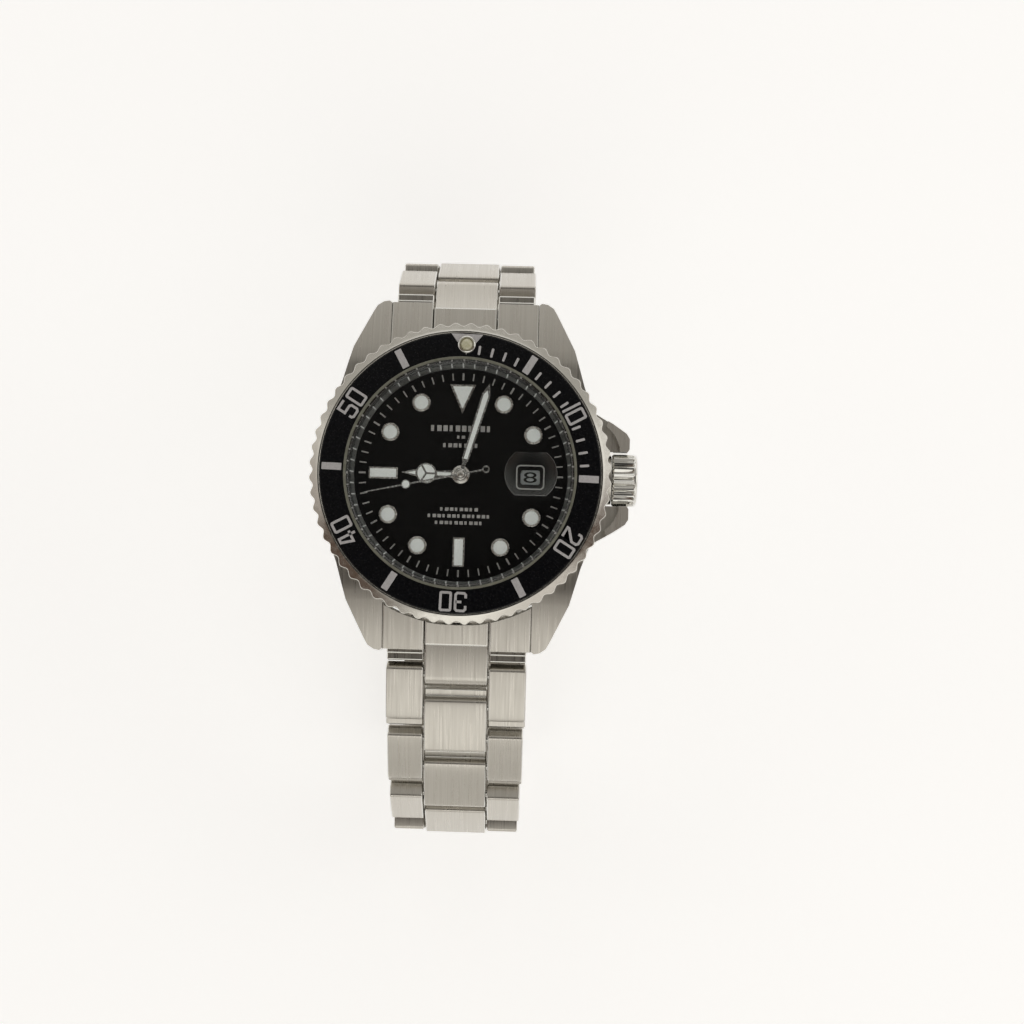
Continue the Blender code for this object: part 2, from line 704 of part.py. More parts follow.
def make_first_link(build, side, name, path):
    y, z, fall = path[0]
    half = LINK_THICK / 2
    shape = arc(half, 90, 270, 8) + arc(half, -90, 90, 8, (FIRST_LINK, 0))
    holes = [circle(BAR_R + RUN, 16), circle(PIN_R + RUN, 12, (FIRST_LINK, 0))]
    mesh = across(name, shape, -CENTRE_W / 2, CENTRE_W / 2, holes)
    build.part(name, mesh, STEEL, (0, y, head(z)), turned_about(side, fall))


def make_row(build, side, name, path, k):
    """An outer link each side of a centre link, which is half a pitch further on and pinned to them."""
    y, z, fall = path[k]
    at = (0, y, head(z))
    turn = turned_about(side, fall)
    width = BRACELET_W - (BRACELET_W - CLASP_END_W) * k / ROWS
    inner = CENTRE_W / 2 + CLEAR / 2
    link = link_outline(PITCH)
    outer = across(name, link, inner, width / 2)
    row = build.part(name, outer, STEEL, at, turn)
    row.modifiers.new("other_side", "MIRROR").use_mirror_merge = False
    pin_end = width / 2 - 0.6
    fixed_pin = rod_mesh("fixed_pin", PIN_R, -pin_end, pin_end, 12)
    pins = joined(
        "pins",
        rod_mesh("pivot_pin", PIN_R, -pin_end, pin_end, 12),
        moved(fixed_pin, Matrix.Translation((0, PITCH / 2 * MM, 0))),
    )
    build.add(row, pins, at, turn)
    centre = [(PITCH - a, b) for a, b in link]
    bore = BAR_R if side > 0 and k == ROWS else PIN_R
    holes = [circle(bore + RUN, 12, (PITCH, 0))]
    build.add(row, across("centre", centre, -CENTRE_W / 2, CENTRE_W / 2, holes), at, turn)


def make_end_link(build, side, name):
    """The block between two lugs, hollow under its middle for the bracelet's first link."""
    half_w = LUG_GAP / 2 - 0.1
    block = box_mesh(name, (-half_w, 15.0, CASE_BOTTOM + 0.3), (half_w, LUG_TIP_Y - 0.2, CASE_TOP + 1))
    turn = (0, 0, 0 if side > 0 else math.pi)
    part = build.part(name, block, STEEL, (0, 0, head(0)), turn)
    lip_low = -1.0
    lip = box_mesh("lip", (-half_w + 0.4, LUG_BAR_Y, lip_low), (half_w - 0.4, LUG_BAR_Y + 3.2, 0.3))
    build.add(part, lip, (0, 0, head(0)), turn)
    body = flat_mesh("body", circle(BODY_R + 0.2, 48), 30, (), -15)
    build.cut(part, body, (0, 0, head(0)))
    lug_slopes(build, part)
    room = CENTRE_W / 2 + 0.15
    pocket = LINK_THICK / 2 + CLEAR
    hollow = box_mesh("hollow", (-room, LUG_BAR_Y - pocket, -10), (room, LUG_TIP_Y + 5, pocket))
    build.cut(part, hollow, (0, 0, head(0)), turn)
    build.cut(part, rod_mesh("bar_bore", BAR_R + RUN, -15, 15), (0, side * LUG_BAR_Y, head(0)))


def spring_bar(build, name, length, tip, at):
    bar = build.part(name, rod_mesh(name, BAR_R, -length / 2, length / 2), POLISHED, at)
    build.add(bar, rod_mesh("tips", BAR_TIP_R, -length / 2 - tip, length / 2 + tip), at)


def make_bracelet(build):
    for side, clock, path in ((1, "12", PATH_12), (-1, "6", PATH_6)):
        make_end_link(build, side, "end_link_" + clock)
        spring_bar(build, "lug_bar_" + clock, LUG_GAP - 0.4, BAR_TIP, (0, side * LUG_BAR_Y, head(0)))
        make_first_link(build, side, "first_link_" + clock, path)
        for k in range(1, ROWS + 1):
            make_row(build, side, f"row_{clock}_{k}", path, k)


# ---- clasp: its own frame starts at its spring bar, Y towards 6 o'clock and Z outwards

HINGE_AT = (CLASP_SPAN - 3.5, 1.5)
FOLD_AT = (6.6, 0.35)
KNUCKLE_R = 1.0
CLASP_TURN = (-math.pi, 0, 0)


def in_clasp(y=0.0, z=0.0):
    """World place of a point of the clasp's own frame."""
    return (0, CLASP_BAR[0] - y, head(CLASP_BAR[1]) - z)


def make_clasp(build):
    half = COVER_W / 2
    inside = half - COVER_SHEET
    floor = COVER_ROOM + COVER_SHEET
    end = CLASP_SPAN - 1.2
    cover = build.part(
        "clasp_cover",
        box_mesh("clasp_cover", (-half, 2.0, COVER_ROOM), (half, end, floor)),
        STEEL,
        in_clasp(),
        CLASP_TURN,
    )
    side = [(-2.2, -COVER_WALL_UP), (end - 2, -COVER_WALL_UP), (end, 0)]
    side += [(end, floor), (-1.0, floor), (-2.2, 1.4)]
    walls = joined("walls", across("w", side, inside, half), across("w", side, -half, -inside))
    build.add(cover, walls, in_clasp(), CLASP_TURN)
    build.cut(cover, rod_mesh("bar_holes", BAR_TIP_R + RUN, -half - 1, half + 1), in_clasp())
    build.cut(cover, rod_mesh("hinge_holes", PIN_R + RUN, -half - 1, half + 1), in_clasp(*HINGE_AT))
    button_y = CLASP_SPAN / 2
    button_holes = rod_mesh("button_holes", BUTTON_R + RUN, -half - 1, half + 1, 20)
    build.cut(cover, button_holes, in_clasp(button_y, 0.4))
    spring_bar(build, "clasp_spring_bar", 2 * inside - 0.2, 0.7, in_clasp())
    pin = rod_mesh("clasp_hinge_pin", PIN_R, -half + 0.1, half - 0.1, 12)
    build.part("clasp_hinge_pin", pin, POLISHED, in_clasp(*HINGE_AT))
    for sign, name in ((1, "clasp_button_right"), (-1, "clasp_button_left")):
        ends = sorted((sign * (inside - 1.0), sign * (half + 0.7)))
        build.part(name, rod_mesh(name, BUTTON_R, *ends, 20), POLISHED, in_clasp(button_y, 0.4))

    # the outer blade is hinged to the cover and carries the fold's pin
    blade = BLADE_W / 2
    run = HINGE_AT[0] - FOLD_AT[0]
    plate_low = FOLD_AT[1] + 0.15 - HINGE_AT[1]
    plate_high = plate_low + BLADE_SHEET
    plate_start = -run + KNUCKLE_R + 0.5
    plate = box_mesh("clasp_outer_blade", (-blade, plate_start, plate_low), (blade, -0.6, plate_high))
    outer = build.part("clasp_outer_blade", plate, STEEL, in_clasp(*HINGE_AT), CLASP_TURN)
    strip = box_mesh("strip", (-2.3, -run, plate_low), (2.3, -run + 3, plate_high))
    build.add(outer, rod_mesh("hinge_knuckle", KNUCKLE_R, -blade, blade), in_clasp(*HINGE_AT))
    build.add(outer, strip, in_clasp(*HINGE_AT), CLASP_TURN)
    build.add(outer, rod_mesh("fold_knuckle", KNUCKLE_R, -2.3, 2.3), in_clasp(*FOLD_AT))
    build.cut(outer, rod_mesh("hinge_bore", PIN_R + RUN, -blade - 1, blade + 1, 12), in_clasp(*HINGE_AT))
    build.cut(outer, rod_mesh("fold_bore", PIN_R + RUN, -3, 3, 12), in_clasp(*FOLD_AT))
    fold_pin = rod_mesh("clasp_fold_pin", PIN_R, -blade + 0.1, blade - 0.1, 12)
    build.part("clasp_fold_pin", fold_pin, POLISHED, in_clasp(*FOLD_AT))

    # the inner blade folds back over it and ends just short of the 6 o'clock strand
    tip = CLASP_SPAN - FOLD_AT[0] - LINK_THICK / 2 - 1.1
    high = 0.15 - CLEAR
    low = high - BLADE_SHEET
    inner = build.part(
        "clasp_inner_blade",
        box_mesh("clasp_inner_blade", (-blade, KNUCKLE_R + 0.4, low), (blade, tip, high)),
        STEEL,
        in_clasp(*FOLD_AT),
        CLASP_TURN,
    )
    ears = joined("ears", rod_mesh("e", KNUCKLE_R, 2.6, blade), rod_mesh("e", KNUCKLE_R, -blade, -2.6))
    arms = joined(
        "arms",
        box_mesh("a", (2.6, -0.2, low), (blade, KNUCKLE_R + 1, high)),
        box_mesh("a", (-blade, -0.2, low), (-2.6, KNUCKLE_R + 1, high)),
    )
    build.add(inner, ears, in_clasp(*FOLD_AT))
    build.add(inner, arms, in_clasp(*FOLD_AT), CLASP_TURN)
    build.cut(inner, rod_mesh("fold_bore", PIN_R + RUN, -blade - 1, blade + 1, 12), in_clasp(*FOLD_AT))


def main():
    clear_scene()
    build = Builder()
    make_case(build)
    make_crystal(build)
    make_bezel(build)
    make_crown(build)
    make_dial(build)
    make_movement(build)
    make_wheels(build)
    make_bracelet(build)
    make_clasp(build)


main()
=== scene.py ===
import json
import math

import bmesh
import bpy
from mathutils import Matrix, Vector


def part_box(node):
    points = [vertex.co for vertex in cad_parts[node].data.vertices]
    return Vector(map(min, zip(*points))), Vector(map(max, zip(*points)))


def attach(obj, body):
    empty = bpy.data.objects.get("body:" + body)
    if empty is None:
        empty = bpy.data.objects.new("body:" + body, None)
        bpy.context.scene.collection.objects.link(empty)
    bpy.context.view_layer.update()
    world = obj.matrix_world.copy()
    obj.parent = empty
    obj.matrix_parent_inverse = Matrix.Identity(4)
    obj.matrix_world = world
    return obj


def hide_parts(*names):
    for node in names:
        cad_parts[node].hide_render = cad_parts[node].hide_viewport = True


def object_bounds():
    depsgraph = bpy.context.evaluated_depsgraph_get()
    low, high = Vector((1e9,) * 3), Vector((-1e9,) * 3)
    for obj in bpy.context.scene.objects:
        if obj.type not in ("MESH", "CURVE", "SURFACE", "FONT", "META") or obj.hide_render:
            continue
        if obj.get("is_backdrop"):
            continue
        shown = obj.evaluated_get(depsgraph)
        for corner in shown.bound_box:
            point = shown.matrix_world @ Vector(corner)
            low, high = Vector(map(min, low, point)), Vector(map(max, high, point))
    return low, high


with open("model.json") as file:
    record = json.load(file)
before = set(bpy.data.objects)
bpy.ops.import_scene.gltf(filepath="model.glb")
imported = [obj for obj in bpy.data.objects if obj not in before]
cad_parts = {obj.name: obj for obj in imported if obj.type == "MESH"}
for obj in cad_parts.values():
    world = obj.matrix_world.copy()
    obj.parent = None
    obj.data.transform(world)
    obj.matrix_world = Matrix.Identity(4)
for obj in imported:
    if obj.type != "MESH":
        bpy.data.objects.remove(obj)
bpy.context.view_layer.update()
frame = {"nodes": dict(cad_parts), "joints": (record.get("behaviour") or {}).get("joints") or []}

# ---- The sitting. The watch stands on its closed clasp on a pale table, under a soft
# light tent that is darker straight above, where the camera looks in, and brighter on
# the 6 o'clock side. Sizes are in millimetres until a piece is finished.
MM = 0.001
scene = bpy.context.scene
scene.view_settings.view_transform = "Standard"
joints = {joint["name"]: joint for joint in frame["joints"]}
bar_height = joints["lug_12"]["pos_m"][2]

camera = bpy.data.objects.new("camera", bpy.data.cameras.new("camera"))
scene.collection.objects.link(camera)
scene.camera = camera
lean = Vector((-4.83, -1.84, -1.54))
facing = Matrix.Rotation(math.radians(lean.length), 3, lean).transposed()
camera.location = Vector((0, 0, bar_height + 6 * MM)) + facing @ Vector((0, 0, 270 * MM))
camera.rotation_euler = facing.to_euler()
camera.data.lens = 71.6
camera.data.shift_x = 0.0505
camera.data.shift_y = -0.0374
camera.data.clip_start = 0.01


def soft_light(name, at, aim, size, power, colour):
    lamp = bpy.data.lights.new(name, "AREA")
    lamp.shape = "RECTANGLE"
    lamp.size, lamp.size_y = size
    lamp.energy = power
    lamp.color = colour
    holder = bpy.data.objects.new(name, lamp)
    holder.location = at
    holder.rotation_euler = (Vector(aim) - Vector(at)).to_track_quat("-Z", "Y").to_euler()
    holder.visible_camera = False
    scene.collection.objects.link(holder)


middle = (0, 0, 0.03)
soft_light("front_panel", (0.12, -0.34, 0.42), middle, (0.5, 0.3), 0.34, (1.0, 0.99, 0.95))
soft_light("left_panel", (-0.5, 0.05, 0.3), middle, (0.3, 0.5), 0.2, (1.0, 0.98, 0.94))
soft_light("right_panel", (0.5, 0.1, 0.28), middle, (0.3, 0.5), 0.3, (1.0, 0.99, 0.97))
soft_light("back_panel", (0.0, 0.5, 0.25), middle, (0.6, 0.25), 0.25, (0.97, 0.98, 1.0))

world = bpy.data.worlds.new("tent")
scene.world = world
world.use_nodes = True
tent = world.node_tree
tent_place = tent.nodes.new("ShaderNodeTexCoord")
tent_parts = tent.nodes.new("ShaderNodeSeparateXYZ")
tent_ramp = tent.nodes.new("ShaderNodeValToRGB")
tent_front = tent.nodes.new("ShaderNodeValToRGB")
tent_half = tent.nodes.new("ShaderNodeMath")
tent_half.operation = "MULTIPLY_ADD"
tent_half.inputs[1].default_value = 0.5
tent_half.inputs[2].default_value = 0.5
tent_gain = tent.nodes.new("ShaderNodeVectorMath")
tent_gain.operation = "MULTIPLY"
tent.links.new(tent_place.outputs["Generated"], tent_parts.inputs[0])
tent.links.new(tent_parts.outputs["Z"], tent_ramp.inputs["Fac"])
tent.links.new(tent_parts.outputs["Y"], tent_half.inputs[0])
tent.links.new(tent_half.outputs[0], tent_front.inputs["Fac"])
tent.links.new(tent_ramp.outputs["Color"], tent_gain.inputs[0])
tent.links.new(tent_front.outputs["Color"], tent_gain.inputs[1])


def stepped(ramp, steps, tint):
    while len(ramp.elements) < len(steps):
        ramp.elements.new(0.5)
    for element, (place, level) in zip(ramp.elements, steps):
        element.position = place
        element.color = (*[level * part for part in tint], 1)


stepped(
    tent_ramp.color_ramp,
    ((0.0, 0.6), (0.5, 0.5), (0.8, 0.45), (0.93, 0.36), (0.978, 0.06), (1.0, 0.01)), (1, 0.965, 0.9),
)
stepped(
    tent_front.color_ramp,
    ((0.0, 0.62), (0.2, 0.62), (0.31, 0.85), (0.42, 0.75), (0.52, 0.58), (1.0, 0.58)), (1, 1, 1),
)
tent.nodes["Background"].inputs["Strength"].default_value = 1.75

# two dim corners of the room, low on the right and left, show in the polished steel
dim_sum = tent_gain.outputs[0]
for toward in ((0.53, -0.37, 0.766), (-0.6, -0.22, 0.766)):
    near = tent.nodes.new("ShaderNodeVectorMath")
    near.operation = "DOT_PRODUCT"
    near.inputs[1].default_value = toward
    tent.links.new(tent_place.outputs["Generated"], near.inputs[0])
    fade = tent.nodes.new("ShaderNodeMapRange")
    fade.interpolation_type = "SMOOTHSTEP"
    fade.inputs["From Min"].default_value = 0.86
    fade.inputs["From Max"].default_value = 0.95
    tent.links.new(near.outputs["Value"], fade.inputs["Value"])
    corner = tent.nodes.new("ShaderNodeMix")
    corner.data_type = "RGBA"
    corner.inputs["B"].default_value = (0.06, 0.04, 0.03, 1)
    tent.links.new(fade.outputs["Result"], corner.inputs["Factor"])
    tent.links.new(dim_sum, corner.inputs["A"])
    dim_sum = corner.outputs["Result"]
tent.links.new(dim_sum, tent.nodes["Background"].inputs["Color"])


def new_material(name, colour, roughness, metallic=0.0):
    made = bpy.data.materials.new(name)
    made.use_nodes = True
    shader = made.node_tree.nodes["Principled BSDF"]
    shader.inputs["Base Color"].default_value = (*colour, 1)
    shader.inputs["Roughness"].default_value = roughness
    shader.inputs["Metallic"].default_value = metallic
    made.diffuse_color = (*colour, 1)
    return made


def set_level(made, socket, level):
    made.node_tree.nodes["Principled BSDF"].inputs[socket].default_value = level


def grain(made, scale, detail=3.0):
    """Noise over the piece, in features per millimetre along each axis."""
    nodes, links = made.node_tree.nodes, made.node_tree.links
    place = nodes.new("ShaderNodeTexCoord")
    spread = nodes.new("ShaderNodeMapping")
    spread.inputs["Scale"].default_value = [s / MM for s in scale]
    noise = nodes.new("ShaderNodeTexNoise")
    noise.inputs["Scale"].default_value = 1.0
    noise.inputs["Detail"].default_value = detail
    links.new(place.outputs["Object"], spread.inputs["Vector"])
    links.new(spread.outputs["Vector"], noise.inputs["Vector"])
    return noise.outputs["Fac"]


def between(made, source, socket, low, high, start=0.3, end=0.7):
    """Feeds one of the shader's values from a noise, between two levels."""
    nodes, links = made.node_tree.nodes, made.node_tree.links
    spread = nodes.new("ShaderNodeMapRange")
    spread.inputs["From Min"].default_value = start
    spread.inputs["From Max"].default_value = end
    spread.inputs["To Min"].default_value = low
    spread.inputs["To Max"].default_value = high
    links.new(source, spread.inputs["Value"])
    links.new(spread.outputs["Result"], nodes["Principled BSDF"].inputs[socket])


def tinted(made, source, low, high, start=0.3, end=0.7):
    """Colours the piece between two tones by a noise."""
    nodes, links = made.node_tree.nodes, made.node_tree.links
    ramp = nodes.new("ShaderNodeValToRGB")
    ramp.color_ramp.elements[0].position = start
    ramp.color_ramp.elements[0].color = (*low, 1)
    ramp.color_ramp.elements[1].position = end
    ramp.color_ramp.elements[1].color = (*high, 1)
    links.new(source, ramp.inputs["Fac"])
    links.new(ramp.outputs["Color"], nodes["Principled BSDF"].inputs["Base Color"])


def relief(made, source, depth, strength=1.0):
    """Bump of a depth in millimetres."""
    nodes, links = made.node_tree.nodes, made.node_tree.links
    bump = nodes.new("ShaderNodeBump")
    bump.inputs["Strength"].default_value = strength
    bump.inputs["Distance"].default_value = depth * MM
    links.new(source, bump.inputs["Height"])
    links.new(bump.outputs["Normal"], nodes["Principled BSDF"].inputs["Normal"])


table_top = new_material("pale_table", (0.9, 0.9, 0.89), 0.7)
set_level(table_top, "Emission Color", (1, 1, 1, 1))
set_level(table_top, "Emission Strength", 0.5)
between(table_top, grain(table_top, (0.02, 0.02, 0.02)), "Roughness", 0.65, 0.8)
work = bmesh.new()
bmesh.ops.create_grid(work, x_segments=4, y_segments=4, size=3.0)
table_mesh = bpy.data.meshes.new("table")
work.to_mesh(table_mesh)
work.free()
table_mesh.materials.append(table_top)
table = bpy.data.objects.new("table", table_mesh)
table.location.z = -0.2 * MM
scene.collection.objects.link(table)
table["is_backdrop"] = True

# ---- Case middle: one block of stainless steel, milled to a round body with four lugs
# and two crown guards. Its upper faces are satin, with the grain running along the
# strap, and its flanks and edges are polished. A round seat stands behind the crown.
BODY_R = 19.7
CASE_BOTTOM = -1.9
CASE_TOP = 4.6
LUG_INNER_X = 9.95
LUG_TIP_Y = 23.6
SLOPE_FROM_Y = 14.6
SLOPE_DROP = 2.0

satin_steel = new_material("satin_steel", (0.60, 0.575, 0.525), 0.3, 1.0)
lines = grain(satin_steel, (9.0, 0.07, 0.07), 4.0)
tinted(satin_steel, lines, (0.565, 0.54, 0.49), (0.63, 0.605, 0.555))
between(satin_steel, grain(satin_steel, (5.0, 0.12, 0.12), 5.0), "Roughness", 0.24, 0.40)
relief(satin_steel, lines, 0.004, 0.4)

polished_steel = new_material("polished_steel", (0.70, 0.69, 0.655), 0.1, 1.0)
between(polished_steel, grain(polished_steel, (0.9, 0.9, 0.9), 5.0), "Roughness", 0.07, 0.16)
relief(polished_steel, grain(polished_steel, (0.35, 0.35, 0.35), 2.0), 0.004, 0.4)


def ring_of(radius, count=96, at=(0.0, 0.0)):
    turns = [math.tau * k / count for k in range(count)]
    return [(at[0] + radius * math.cos(a), at[1] + radius * math.sin(a)) for a in turns]


def arc_of(radius, start, end, count, at=(0.0, 0.0)):
    turns = [math.radians(start + (end - start) * k / count) for k in range(count + 1)]
    return [(at[0] + radius * math.cos(a), at[1] + radius * math.sin(a)) for a in turns]


def plate(work, outline, low, high, holes=()):
    """Adds a flat plate, cut to an outline with holes, between two heights."""
    edges = []
    for loop in (outline, *holes):
        corners = [work.verts.new((x, y, low)) for x, y in loop]
        edges += [work.edges.new(pair) for pair in zip(corners, corners[1:] + corners[:1])]
    filled = bmesh.ops.triangle_fill(work, use_beauty=True, use_dissolve=True, edges=edges, normal=(0, 0, 1))
    faces = [part for part in filled["geom"] if isinstance(part, bmesh.types.BMFace)]
    grown = bmesh.ops.extrude_face_region(work, geom=faces)
    raised = [part for part in grown["geom"] if isinstance(part, bmesh.types.BMVert)]
    bmesh.ops.translate(work, verts=raised, vec=(0, 0, high - low))
    bmesh.ops.recalc_face_normals(work, faces=work.faces)


def placed(work, turn, make, *details):
    """Makes a shape by itself, turns it to its place and adds it to the piece."""
    own = bmesh.new()
    make(own, *details)
    own.transform(turn)
    mesh = bpy.data.meshes.new("part")
    own.to_mesh(mesh)
    own.free()
    work.from_mesh(mesh)
    bpy.data.meshes.remove(mesh)


def sized(work, place=Matrix.Identity(4)):
    """Brings a shape made in millimetres to its place in the watch, in metres."""
    bmesh.ops.transform(work, matrix=place @ Matrix.Scale(MM, 4), verts=work.verts)


def finished(work, name, body, replaced, slot, *looks, edge=0.0, segments=2, smooth=30, edge_look=-1):
    """Makes the piece, softens its edges and lets it ride on a body of the watch."""
    mesh = bpy.data.meshes.new(name)
    work.to_mesh(mesh)
    work.free()
    for look in looks:
        mesh.materials.append(look)
    mesh.shade_smooth()
    mesh.set_sharp_from_angle(angle=math.radians(180 if edge else smooth))
    piece = bpy.data.objects.new(name, mesh)
    scene.collection.objects.link(piece)
    if edge:
        soft = piece.modifiers.new("edge", "BEVEL")
        soft.width = edge * MM
        soft.segments = segments
        soft.material = edge_look
        soft.limit_method = "ANGLE"
        soft.angle_limit = math.radians(smooth)
        soft.harden_normals = True
        soft.use_clamp_overlap = True
    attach(piece, body)
    if replaced:
        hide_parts(*replaced.split())


def lifted(turn=0.0):
    """The place of what is made round the dial's axis, with heights from the lug bars."""
    return Matrix.Translation((0, 0, bar_height)) @ Matrix.Rotation(turn, 4, "Z")


def seated(work, *details, **edges):
    """Finishes a piece that was made round the dial's axis."""
    sized(work, lifted())
    finished(work, *details, **edges)


def cut_across(work, at, normal):
    """Adds a line of edges right across the piece and takes nothing away."""
    everything = work.verts[:] + work.edges[:] + work.faces[:]
    bmesh.ops.bisect_plane(work, geom=everything, plane_co=at, plane_no=normal, dist=1e-5)


def slope_down(work, top):
    """Bends the upper side down towards the lug tips, at 12 and at 6 o'clock."""
    for side in (1, -1):
        for step in range(8):
            cut = side * (SLOPE_FROM_Y + (LUG_TIP_Y - SLOPE_FROM_Y) * step / 8)
            cut_across(work, (0, cut, 0), (0, 1, 0))
    bmesh.ops.triangulate(work, faces=work.faces[:])
    for corner in work.verts:
        past = max(0.0, abs(corner.co.y) - SLOPE_FROM_Y) / (LUG_TIP_Y - SLOPE_FROM_Y)
        if corner.co.z > top / 2:
            corner.co.z -= SLOPE_DROP * past**1.35
    bmesh.ops.remove_doubles(work, verts=work.verts, dist=1e-4)
    bmesh.ops.dissolve_degenerate(work, edges=work.edges, dist=1e-4)


lug = [(16.25, 12.1), (14.85, 17.0), (12.4, 22.0), (11.9, 22.9), (11.1, 23.45), (10.3, LUG_TIP_Y)]
lug += [(LUG_INNER_X, 23.3)]
GUARD_FROM_Y = 3.62
guard = [(17.5, GUARD_FROM_Y), (22.2, GUARD_FROM_Y), (22.45, 4.0), (22.45, 5.4), (22.0, 6.1), (20.2, 7.3)]
guard += [(18.45, 8.3), (16.6, 9.4)]
guard_top = [(21.1, GUARD_FROM_Y), *guard[1:6], (19.5, 7.7), (19.25, 6.95), (20.0, 6.3), (20.5, 5.6)]
guard_top += [(20.85, 4.9), (21.1, 4.2)]
RECESS_TOP = 3.7
GUARD_FALL = 0.17
GUARD_FALL_FROM_X = 18.5
SEAT_X, SEAT_R, SEAT_BORE_R, SEAT_LONG = 19.2, 3.35, 1.9, 0.88
CROWN_AXIS = (joints["crown_turn"]["pos_m"][2] - bar_height) / MM
toward_x = Matrix.Rotation(math.pi / 2, 4, "Y")
body_turn = math.degrees(math.asin(LUG_INNER_X / BODY_R))
between_lugs = arc_of(BODY_R, 90 - body_turn, 90 + body_turn, 16)
left_turn = math.degrees(math.atan2(12.1, 16.25)) - 7
plan = arc_of(BODY_R, -left_turn, left_turn, 20) + lug + between_lugs
plan += [(-x, y) for x, y in reversed(lug)]
plan += arc_of(BODY_R, 180 - left_turn, 180 + left_turn, 20)
plan += [(-x, -y) for x, y in lug]
plan += [(x, -y) for x, y in reversed(between_lugs)]
plan += [(x, -y) for x, y in reversed(lug)]
work = bmesh.new()
plate(work, plan, CASE_BOTTOM, CASE_TOP, [ring_of(15.3, 64)])
slope_down(work, CASE_TOP)
for face in work.faces:
    face.material_index = 0 if abs(face.normal.z) > 0.5 else 1
for flip in (1, -1):
    mirror = Matrix.Diagonal((1, flip, 1, 1))
    placed(work, mirror, plate, guard, CASE_BOTTOM, RECESS_TOP)
    placed(work, mirror, plate, guard_top, RECESS_TOP - 0.5, CASE_TOP)
for corner in work.verts:
    on_guard = corner.co.x > GUARD_FALL_FROM_X and abs(corner.co.y) > SEAT_R + 0.15
    if on_guard and corner.co.z > RECESS_TOP - 0.01:
        corner.co.z -= GUARD_FALL * (corner.co.x - GUARD_FALL_FROM_X)
seat_at = Matrix.Translation((SEAT_X, 0, CROWN_AXIS)) @ toward_x
placed(work, seat_at, plate, ring_of(SEAT_R, 48), 0, SEAT_LONG, [ring_of(SEAT_BORE_R, 32)])
bmesh.ops.recalc_face_normals(work, faces=work.faces)
for face in work.faces:
    if abs(face.normal.z) < 0.5:
        face.material_index = 1
seated(
    work, "case_middle_steel", "head", "case_middle", "steel_satin", satin_steel, polished_steel,
    edge=0.3, segments=3, edge_look=1,
)

# ---- Neck: the thin steel collar on the case that the crystal and its seal are pressed
# into, and that the bezel turns on.
work = bmesh.new()
plate(work, ring_of(16.15), CASE_TOP - 0.3, 7.0, [ring_of(15.55)])
seated(work, "case_neck", "head", "", "steel_polished", polished_steel, edge=0.08)

# ---- Case back: a steel disc turned on a lathe and pressed in over its seal. It is
# satin, with a rim chamfer and six notches for the case opener.
turned_steel = new_material("turned_steel", (0.62, 0.605, 0.57), 0.28, 1.0)
nodes, links = turned_steel.node_tree.nodes, turned_steel.node_tree.links
from_axis = nodes.new("ShaderNodeTexCoord")
flattened = nodes.new("ShaderNodeMapping")
flattened.inputs["Scale"].default_value = (1, 1, 0)
distance = nodes.new("ShaderNodeVectorMath")
distance.operation = "LENGTH"
rings = nodes.new("ShaderNodeTexNoise")
rings.noise_dimensions = "1D"
rings.inputs["Scale"].default_value = 9000.0
rings.inputs["Detail"].default_value = 3.0
links.new(from_axis.outputs["Object"], flattened.inputs["Vector"])
links.new(flattened.outputs["Vector"], distance.inputs[0])
links.new(distance.outputs["Value"], rings.inputs["W"])
between(turned_steel, rings.outputs["Fac"], "Roughness", 0.22, 0.36)
tinted(turned_steel, rings.outputs["Fac"], (0.55, 0.535, 0.5), (0.67, 0.655, 0.62))
relief(turned_steel, rings.outputs["Fac"], 0.005, 0.5)


def turned(work, profile, count=96):
    """Spins a closed profile of (radius, height) points round the axis."""
    points = [work.verts.new((r, 0, z)) for r, z in profile]
    closed = profile[0][0] > 0 and profile[-1][0] > 0
    pairs = list(zip(points, points[1:])) + ([(points[-1], points[0])] if closed else [])
    edges = [work.edges.new(pair) for pair in pairs]
    bmesh.ops.spin(
        work, geom=points + edges, cent=(0, 0, 0), axis=(0, 0, 1), angle=math.tau, steps=count,
        use_merge=True, use_duplicate=False,
    )
    bmesh.ops.remove_doubles(work, verts=work.verts, dist=1e-5)
    bmesh.ops.recalc_face_normals(work, faces=work.faces)


back_low, back_high = (corner[2] / MM - bar_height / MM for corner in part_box("case_back"))
notched = ring_of(17.2, 96)
for k in range(6):
    for step in (-1, 0, 1):
        x, y = notched[16 * k + step + 8]
        notched[16 * k + step + 8] = (x * 0.945, y * 0.945)
work = bmesh.new()
plate(work, notched, back_high - 0.6 - 0.7, back_high - 0.6)
seated(work, "case_back_rim", "head", "", "steel_satin", turned_steel, edge=0.15)
work = bmesh.new()
floor_z = back_low
disc = [(0, floor_z + 0.35), (15.6, floor_z + 0.35), (15.6, floor_z + 0.15), (13.2, floor_z + 0.15)]
disc += [(12.9, floor_z), (0, floor_z)]
turned(work, disc)
seated(work, "case_back_plate", "head", "case_back", "steel_satin", turned_steel, edge=0.1)

# ---- Dial: a thin brass disc under deep black lacquer, with the minute ticks printed in
# white and a small window for the date.
DIAL_R = 15.1
DIAL_TOP = 3.6
WINDOW_X = 9.3
WINDOW = (0.93, 0.69)

black_lacquer = new_material("black_lacquer", (0.006, 0.005, 0.005), 0.12)
set_level(black_lacquer, "Coat Weight", 0.15)
set_level(black_lacquer, "Specular IOR Level", 0.3)
between(black_lacquer, grain(black_lacquer, (1.2, 1.2, 1.2), 6.0), "Roughness", 0.1, 0.2)
tinted(black_lacquer, grain(black_lacquer, (14.0, 14.0, 14.0)), (0.004, 0.004, 0.004), (0.009, 0.008, 0.008))

